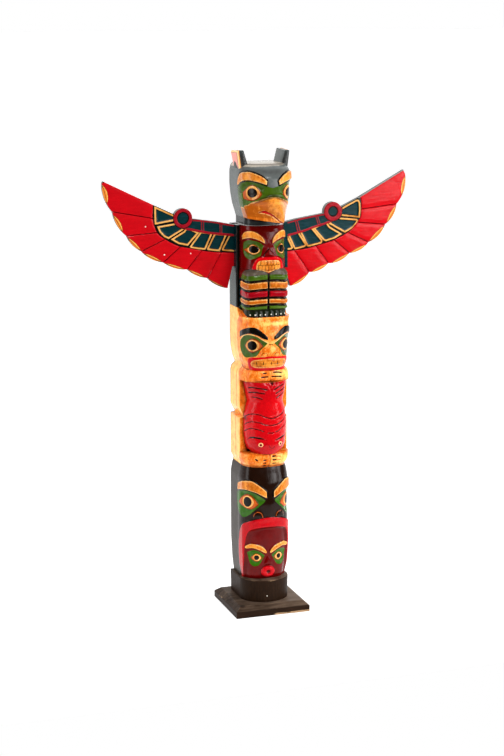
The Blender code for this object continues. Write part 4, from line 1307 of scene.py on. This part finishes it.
stand = {
    "block": {"half": 54.5, "back": 52.0, "edge": 13.0, "reach": 61.5, "low": 23.8, "high": 71.5,
              "step": 1.7, "round": 1.4, "taper": 1.0, "footRound": 1.0},
    "board": {"half": 83.25, "edge": 14.0, "high": 23.5, "bevel": 12.0, "step": 1.9, "round": 0.9,
              "footRound": 0.8},
}


def unevenness(place, lengths, seed):
    # slow waves of several lengths added up, between about -1 and 1
    rng = np.random.default_rng(seed)
    waves = [np.sin(2 * math.pi * place / length + rng.uniform(0, 6.28)) for length in lengths]
    return sum(waves) / len(lengths)


def turnedRings(outline, levels, centre):
    # rings of an outline, each drawn in by its inset and then shrunk to its part of the size
    normal = outwardFrom(outline)
    rings = []
    for height, inset, part, _ in levels:
        line = outline - normal * np.asarray(inset).reshape(-1, 1)
        line = centre + (line - centre) * part
        rings.append(np.column_stack([line, np.broadcast_to(height, len(line))]))
    return np.stack(rings)


def wearOf(levels, count):
    # each level's wear, the same all round
    return {"wear": np.repeat([[float(level[-1])] for level in levels], count, axis=1)}


def blockBody():
    # rings up the block: a rounded foot, slightly tapered sides, a worn top edge, the flat top; each
    # level is its height, inset, part of the size and wear
    s = stand["block"]
    angle = np.linspace(-math.pi / 2, math.pi / 2, 60)
    front = np.stack([s["half"] * np.sin(angle), -s["edge"] - (s["reach"] - s["edge"]) * np.cos(angle)], -1)
    outline = evenLoop(np.vstack([front, [(s["half"], s["back"]), (-s["half"], s["back"])]]), s["step"])
    run = np.arange(len(outline)) * s["step"]
    worn = s["round"] * (1 + 0.45 * unevenness(run, (31, 17, 9, 5.5), 3))
    centre = np.array([0.0, -2.0])
    levels = [(s["low"], worn + s["taper"], part, 0) for part in (0.3, 0.6, 0.85)]
    for a in np.radians([0, 45, 90]):
        inset = s["taper"] + s["footRound"] * (1 - math.cos(math.pi / 2 - a))
        levels.append((s["low"] + s["footRound"] * (1 - math.sin(a)), inset, 1.0, 0))
    for height in np.linspace(s["low"] + 2.5, s["high"] - 2.8, 26):
        levels.append((height, s["taper"] * (s["high"] - height) / (s["high"] - s["low"]), 1.0, 0))
    for a in np.radians([0, 30, 60, 90]):
        levels.append((s["high"] - worn * (1 - math.sin(a)), worn * (1 - math.cos(a)), 1.0, 1))
    levels += [(s["high"], worn, part, wear) for part, wear in ((0.93, 0.6), (0.8, 0), (0.6, 0), (0.35, 0))]
    rings = turnedRings(outline, levels, centre)
    return closedBody(rings, (*centre, s["low"]), (*centre, s["high"]), wearOf(levels, len(outline)))


def boardBody():
    # rings up the board: the underside, an upright edge, the sloping edge, the flat top, with the
    # same four values to a level
    s = stand["board"]
    corners = np.array([(-1, -1), (1, -1), (1, 1), (-1, 1)]) * s["half"]
    outline = evenLoop(corners, s["step"])
    run = np.arange(len(outline)) * s["step"]
    worn = s["round"] * (1 + 0.4 * unevenness(run, (43, 19, 11, 6), 5))
    size = np.abs(outline).max()
    levels = [(0.0, 0.0, part, 0) for part in (0.25, 0.6, 0.9)]
    levels += [(0.0, s["footRound"], 1.0, 0), (s["footRound"], 0.0, 1.0, 0)]
    levels += [(height, 0.0, 1.0, 0) for height in np.linspace(2.5, s["edge"] - 2.2, 7)]
    levels += [(s["edge"] - worn * (1 - t), 0.2 * worn * t * t, 1.0, 1) for t in (0.0, 0.5, 1.0)]
    rise = s["high"] - s["edge"]
    for place, part in enumerate(np.linspace(0.06, 1.0, 12)):
        wear = max(0.0, 1 - 0.5 * place)
        levels.append((s["edge"] + rise * part ** 0.96, s["bevel"] * part, 1.0, wear))
    levels += [(s["high"], s["bevel"], part, 0.5) for part in (0.985, 0.95, 0.9)]
    levels += [(s["high"], s["bevel"], part, 0) for part in (0.84, 0.78, 0.7, 0.5, 0.25)]
    rings = []
    for height, inset, part, _ in levels:
        shrink = np.broadcast_to((size - inset) / size * part, len(outline))
        rings.append(np.column_stack([outline * shrink[:, None], np.broadcast_to(height, len(outline))]))
    return closedBody(np.stack(rings), (0, 0, 0), (0, 0, s["high"]), wearOf(levels, len(outline)))


# ---- materials

paints = {
    "honey": (0.94, 0.60, 0.145), "honeyDeep": (0.90, 0.18, 0.011), "honeyBrown": (0.42, 0.08, 0.006),
    "maroon": (0.11, 0.001, 0.001), "green": (0.045, 0.098, 0.005), "greenPale": (0.13, 0.24, 0.03),
    "greenLow": (0.028, 0.115, 0.004), "red": (0.62, 0.003, 0.006), "redDeep": (0.27, 0.002, 0.008),
    "rust": (0.16, 0.025, 0.004), "amber": (0.50, 0.09, 0.012), "orange": (0.90, 0.32, 0.04),
    "orangeDark": (0.46, 0.10, 0.005), "rim": (0.92, 0.50, 0.15), "cream": (0.95, 0.66, 0.28),
    "dark": (0.004, 0.003, 0.002), "drawn": (0.030, 0.003, 0.002), "lipLine": (0.26, 0.008, 0.004),
    "white": (0.75, 0.72, 0.62), "pink": (0.85, 0.30, 0.25), "slate": (0.105, 0.118, 0.115),
    "beige": (0.56, 0.49, 0.39), "teal": (0.0015, 0.018, 0.025), "bark": (0.012, 0.004, 0.002),
    "claw": (0.008, 0.014, 0.005), "ledge": (0.55, 0.56, 0.55), "neck": (0.030, 0.036, 0.036),
    "knee": (0.085, 0.065, 0.045), "ash": (0.040, 0.050, 0.050), "ashBrown": (0.030, 0.023, 0.018),
    # the first colour below is that of painted shade in hollows and corners
    "paintedShade": (0.018, 0.005, 0.003), "behind": (0.020, 0.015, 0.012),
}
# the ground's colours above the bark at the foot: from where to where, in metres, each comes in
# the ledge's light grey top face is a painted highlight from above, the neck darkened as painted shade under
# the beak
groundBands = [(0.3232, 0.3238, "claw"), (0.6660, 0.6675, "teal"), (0.8412, 0.8418, "ledge"),
               (0.8428, 0.8432, "neck"), (0.8580, 0.8583, "slate")]


def coat(paint, under, name, colour, wobble):
    # paints a colour where the coat's distance, with a slight wobble, is inside
    mask = (paint.field(name) + wobble).step(0.35, -0.35)
    return paint.mix(mask, under, colour)


def shaded(paint, colour, stroke, low, high):
    # brush strokes: the colour multiplied by a grey between low and high
    grey = stroke * (high - low) + low
    tone = paint.node("ShaderNodeCombineColor", Red=grey, Green=grey, Blue=grey).outputs[0]
    return paint.mix(1.0, colour, tone, "MULTIPLY")


def postMaterial():
    # the ground of each figure, then its coats in the order in which they were painted
    paint = Paint("carving paint")
    x, y, z = paint.axes()
    wobble = (paint.noise(190, detail=2.0) - 0.5) * 1.2
    blotch = paint.noise(45, detail=4.0, rough=0.6)
    mottle = paint.noise(110, (1, 1, 0.7), 4.0, 0.65)
    stroke = paint.noise(160, (1, 1, 0.16), 3.0, 0.6)
    level = paint.noise(170, (0.2, 0.2, 1), 3.0, 0.6)
    grain = paint.noise(900, (1, 1, 0.05), 2.0, 0.5)
    edge = (paint.noise(70, detail=2.0) - 0.5) * 0.006
    ground = paints["bark"]
    for low, high, name in groundBands:
        ground = paint.mix(z.step(low, high), ground, paints[name])
    ground = shaded(paint, ground, blotch, 0.65, 1.35)
    # the post's greyed sides: their paler colour is partly a painted sheen of the side light
    ash = paint.mix(z.step(0.33, 0.34), paints["ashBrown"], paints["ash"])
    colour = coat(paint, ground, "ash", shaded(paint, ash, stroke, 0.6, 1.4), wobble)
    fine = paint.noise(380, (1, 1, 0.6), 4.0, 0.7)
    # the carving's hollows deepen the orange towards brown: painted shade
    hollow = (paint.field("wear") * -1.0).step(0.1, 1.6)
    # the sawn sides are paler and calmer, with a long brown crack down the bear's arm and leg
    beside = x.math("ABSOLUTE").step(0.0505, 0.0530)
    mottled = (mottle - 0.5) * 2.6 + (blotch - 0.5) * 2.2 + (fine - 0.5) * 2.4
    crack = (y - 0.003 - z.step(0.44, 0.42) * 0.008 + (paint.noise(14) - 0.5) * 0.008).math("ABSOLUTE")
    crack = crack.step(0.0021, 0.0005) * z.step(0.547, 0.540) * beside
    deep = paint.field("deep") + hollow * 0.7 + mottled * (1.0 - beside * 0.45) + crack * 1.3
    honey = paint.mix(deep.clamp(), paints["honey"], paints["honeyDeep"])
    honey = shaded(paint, paint.mix((deep - 1.0).clamp(), honey, paints["honeyBrown"]), fine, 0.8, 1.2)
    colour = coat(paint, colour, "honey", honey, wobble)
    colour = coat(paint, colour, "maroon", shaded(paint, paints["maroon"], blotch, 0.5, 1.5), wobble)
    colour = coat(paint, colour, "knee", shaded(paint, paints["knee"], level, 0.4, 1.6), wobble)
    green = paint.mix(z.step(0.323, 0.3225), paints["green"], paints["greenLow"])
    green = paint.mix(blotch.step(0.55, 0.75) * 0.5, green, paints["greenPale"])
    colour = coat(paint, colour, "green", shaded(paint, green, stroke, 0.6, 1.4), wobble)
    redDepth = z.step(0.23, 0.21) * 0.45 + z.step(0.60, 0.64) * z.step(0.748, 0.742) * 0.85
    redDepth = redDepth + z.step(0.42, 0.36) * z.step(0.34, 0.35) * 0.3
    redDepth = redDepth + z.step(0.46, 0.50) * z.step(0.53, 0.51) * 0.3
    red = paint.mix((redDepth + (mottle - 0.5) * 0.8).clamp(), paints["red"], paints["redDeep"])
    colour = coat(paint, colour, "red", shaded(paint, red, fine, 0.6, 1.35), wobble)
    colour = coat(paint, colour, "rust", paints["rust"], wobble)
    colour = coat(paint, colour, "amber", shaded(paint, paints["amber"], mottle, 0.6, 1.4), wobble)
    rimMask = (paint.field("orange") + wobble).step(-2.6, -0.8)
    orange = paint.mix(deep.clamp(), paints["orange"], paints["orangeDark"])
    orange = paint.mix(rimMask * stroke.step(0.3, 0.6), orange, paints["rim"])
    colour = coat(paint, colour, "orange", shaded(paint, orange, fine, 0.65, 1.35), wobble)
    colour = coat(paint, colour, "pink", paints["pink"], wobble)
    colour = coat(paint, colour, "cream", shaded(paint, paints["cream"], stroke, 0.75, 1.2), wobble * 0.7)
    colour = coat(paint, colour, "dark", paints["dark"], wobble * 0.8)
    for name in ("drawn", "lipLine"):
        colour = coat(paint, colour, name, paints[name], wobble * 0.6)
    colour = coat(paint, colour, "white", paints["white"], wobble)
    # the crown's beige, partly painted light from above
    beige = (paint.field("beige") + (stroke - 0.5) * 3.0).step(1.2, -2.4)
    colour = paint.mix(beige, colour, shaded(paint, paints["beige"], blotch, 0.7, 1.25))
    # painted shade in the hollows, paler paint on the raised edges that is partly wear and partly a painted
    # highlight, the dark back
    wear = paint.field("wear")
    hollowShade = (wear * -1.0 + (mottle - 0.5) * 0.8).step(0.35, 2.4)
    colour = paint.mix(hollowShade * 0.62, colour, paints["paintedShade"])
    # paler on the raised edges: partly wear, partly a painted highlight
    worn = (wear * 0.8 + (mottle - 0.5) * 1.2).step(0.5, 1.8)
    colour = shaded(paint, colour, worn, 1.0, 1.35)
    # painted shade from the shade field, varied by the mottling
    shade = (paint.field("shade") * (mottle + 0.5)).clamp()
    colour = paint.mix(shade, colour, paints["paintedShade"])
    behind = (y + edge * 0.6 + z.step(0.8420, 0.8425) * 0.0035).step(0.0445, 0.0465)
    colour = paint.mix(behind, colour, shaded(paint, paints["behind"], grain, 0.6, 1.6))
    flank = (paint.field("ash") + wobble).step(0.35, -0.35) * z.step(0.34, 0.32)
    rough = blotch * 0.12 + stroke * 0.04 + 0.07 + behind * 0.45 + flank * 0.25
    bump = stroke * 0.5 + level * 0.35 + grain * 0.25 + blotch * 0.6
    return paint.finish(colour, rough, bump, depth=0.0005, gloss=0.13)


wingPaints = {
    "red": (0.66, 0.004, 0.009), "redDeep": (0.36, 0.002, 0.005), "inner": (0.004, 0.006, 0.004),
    "gold": (0.80, 0.40, 0.10), "goldDark": (0.50, 0.17, 0.02), "teal": (0.002, 0.026, 0.030),
    "tealPale": (0.012, 0.055, 0.075), "trim": (0.33, 0.006, 0.014), "line": (0.006, 0.003, 0.003),
    "seam": (0.055, 0.001, 0.002), "lens": (0.80, 0.25, 0.035), "lensRim": (0.92, 0.52, 0.12),
    "wall": (0.26, 0.28, 0.27), "white": (0.8, 0.75, 0.7),
}


def wingMaterial(name):
    # red over everything, then each coat of the pattern, then the bare edges and back
    paint = Paint(name)
    x = paint.axes()[0]
    wobble = (paint.noise(200, detail=2.0) - 0.5) * 1.0
    blotch = paint.noise(38, detail=4.0, rough=0.6)
    stroke = paint.noise(230, (0.18, 1, 1), 3.0, 0.6)
    speck = paint.spots(90)
    fine = paint.noise(340, (1, 1, 1), 4.0, 0.7)
    # the red deepens towards the left and pales towards the right: painted shade and light for the light
    # from the right
    deep = (blotch * 0.6 + fine * 0.5 + x * -0.35 - 0.2).clamp()
    red = paint.mix(deep, wingPaints["red"], wingPaints["redDeep"])
    red = shaded(paint, red, stroke, 0.8, 1.2)
    colour = coat(paint, red, "inner", wingPaints["inner"], wobble)
    gold = paint.mix(blotch.step(0.45, 0.7), wingPaints["gold"], wingPaints["goldDark"])
    colour = coat(paint, colour, "gold", shaded(paint, gold, stroke, 0.8, 1.2), wobble)
    teal = paint.mix(stroke.step(0.5, 0.8) * 0.5, wingPaints["teal"], wingPaints["tealPale"])
    colour = coat(paint, colour, "teal", teal, wobble)
    for name in ("trim", "line"):
        colour = coat(paint, colour, name, wingPaints[name], wobble)
    colour = coat(paint, colour, "boss", teal, wobble)
    groove = paint.field("groove") + wobble * 0.6
    seam = groove.step(1.15, 0.4) * paint.field("inner").step(0.0, 0.5)
    colour = paint.mix(seam, colour, wingPaints["seam"])
    lens = paint.field("lens") + wobble * 0.5
    colour = paint.mix(lens.step(0.35, -0.35), colour, wingPaints["lens"])
    colour = paint.mix(lens.step(0.35, -0.2) * lens.step(-1.9, -1.2), colour, wingPaints["lensRim"])
    colour = coat(paint, colour, "lensLine", paints["rust"], wobble * 0.3)
    colour = coat(paint, colour, "spot", wingPaints["white"], wobble * 0.5)
    colour = coat(paint, colour, "root", teal, wobble)
    bare = (paint.field("bare") + wobble).step(0.4, -0.4)
    wall = (paint.field("wall") + bare + (blotch - 0.5) * 0.4).step(0.45, 0.75)
    colour = paint.mix(wall, colour, shaded(paint, wingPaints["wall"], blotch, 0.6, 1.4))
    rough = blotch * 0.12 + 0.13 + wall * 0.35
    bump = stroke * 0.6 + blotch * 0.7 + speck * 0.15
    return paint.finish(colour, rough, bump, depth=0.0004, gloss=0.10)


def farFrom(centre, across, up):
    # distance from a point: the root of the two squared gaps added up
    first, second = across - centre[0], up - centre[1]
    return (first * first + second * second).math("SQRT")


woodTones = {
    "stain": (0.016, 0.007, 0.003), "pale": (0.19, 0.13, 0.09), "bare": (0.38, 0.24, 0.13),
    "knot": (0.006, 0.004, 0.003), "nail": (0.62, 0.58, 0.50),
}


def standMaterial(name, turn, knot=None, nail=None):
    # dark stain, paler brown-grey on the upper faces and paler to the right as painted light, worn to bare
    # wood on the edges
    paint = Paint(name)
    x, y, z = paint.axes()
    shape = (0.12, 1, 1) if turn else (1, 1, 0.2)
    grain = paint.noise(260, shape, 4.0, 0.65, 0.4)
    streak = paint.noise(60, shape, 3.0, 0.6, 0.8)
    blotch = paint.noise(22, detail=4.0, rough=0.65)
    up = paint.axes(paint.node("ShaderNodeNewGeometry").outputs["Normal"])[2]
    # paler on the upper faces, and towards the right as painted light from that side
    paleUpAndLitRight = up.step(0.55, 0.98) * (streak * 1.5 + blotch * 1.1 - 0.72 + x * 4.0).clamp()
    colour = paint.mix(paleUpAndLitRight * 0.85, woodTones["stain"], woodTones["pale"])
    colour = shaded(paint, colour, grain, 0.25, 1.75)
    chipped = z.step(0.008, 0.003) * x.step(-0.04, 0.02) * y.step(-0.080, -0.083) * 1.5
    worn = (paint.field("wear") * 0.9 + chipped + blotch * 1.5 + streak * 0.9 - 1.95).step(0.25, 0.6)
    colour = paint.mix(worn * 0.85, colour, woodTones["bare"])
    if knot:
        mask = (farFrom(knot, x, y) + (grain - 0.5) * 0.006).step(0.0085, 0.0030)
        colour = paint.mix(mask * 0.65, colour, woodTones["knot"])
    if nail:
        mask = farFrom(nail, x, z).step(0.0018, 0.0008) * y.step(-0.02, -0.03)
        colour = paint.mix(mask, colour, woodTones["nail"])
    rough = grain * 0.2 + 0.35
    return paint.finish(colour, rough, grain * 0.8 + streak * 0.5, depth=0.0005, gloss=0.05)


# ---- put together

postPaint = postMaterial()
wingPaint = wingMaterial("wing paint")
pole = asPiece("pole", [carvedPost(), earBody(-1), earBody(1)], postPaint)
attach(pole, "root")
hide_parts("totem_pole")
for label in ("left", "right"):
    board = asPiece("wing" + label.capitalize(), [wingBody(label)], wingPaint)
    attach(board, "root")
    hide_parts("wing_" + label)
print("post and wings made")
for label, body, node, look in (
        ("block", blockBody, "plinth_block", standMaterial("block stain", False, nail=(-0.0068, 0.0372))),
        ("board", boardBody, "base_plate", standMaterial("board stain", True, knot=(-0.066, -0.069)))):
    piece = asPiece(label, [body()], look)
    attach(piece, "root")
    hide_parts(node)
print("block and board made")


def addFloor():
    # a plain pale sheet, glowing faintly so that it meets the backdrop
    half = studio["floorHalf"]
    data = bpy.data.meshes.new("floor")
    front = studio["floorFront"]
    data.from_pydata([(-half, front, 0), (half, front, 0), (half, half, 0), (-half, half, 0)], [],
                     [(0, 1, 2, 3)])
    floor = bpy.data.objects.new("floor", data)
    bpy.context.scene.collection.objects.link(floor)
    paint = Paint("floor")
    for key, value in (("Base Color", studio["floorColour"]), ("Roughness", 0.8),
                       ("Emission Color", (1, 1, 1)), ("Emission Strength", studio["floorGlow"])):
        put(paint.tree, paint.shader.inputs[key], value)
    data.materials.append(paint.material)


def addBackdrop():
    # the sky is white to look at; it lights from behind and above more than from the front
    world = bpy.data.worlds.new("studio")
    world.use_nodes = True
    bpy.context.scene.world = world
    tree = world.node_tree
    place = addNode(tree, "ShaderNodeTexCoord").outputs["Generated"]
    parts = addNode(tree, "ShaderNodeSeparateXYZ", sockets={0: place})
    strength = Wire(tree, parts.outputs["Y"]).step(-0.2, 0.5) * (studio["backdrop"] - studio["front"])
    above = Wire(tree, parts.outputs["Z"]).step(-0.05, 0.05)
    strength = (strength + studio["front"]) * above + (1.0 - above) * studio["below"]
    seen = Wire(tree, addNode(tree, "ShaderNodeLightPath").outputs["Is Camera Ray"])
    light = tree.nodes["Background"]
    put(tree, light.inputs["Color"], (1, 1, 1))
    put(tree, light.inputs["Strength"], seen + (1.0 - seen) * strength)


addCamera()
addFloor()
addBackdrop()
for label in ("left", "right", "face", "sheen"):
    addAreaLight(label, *studio[label])
bpy.context.scene.view_settings.view_transform = "Standard"
print("studio made")
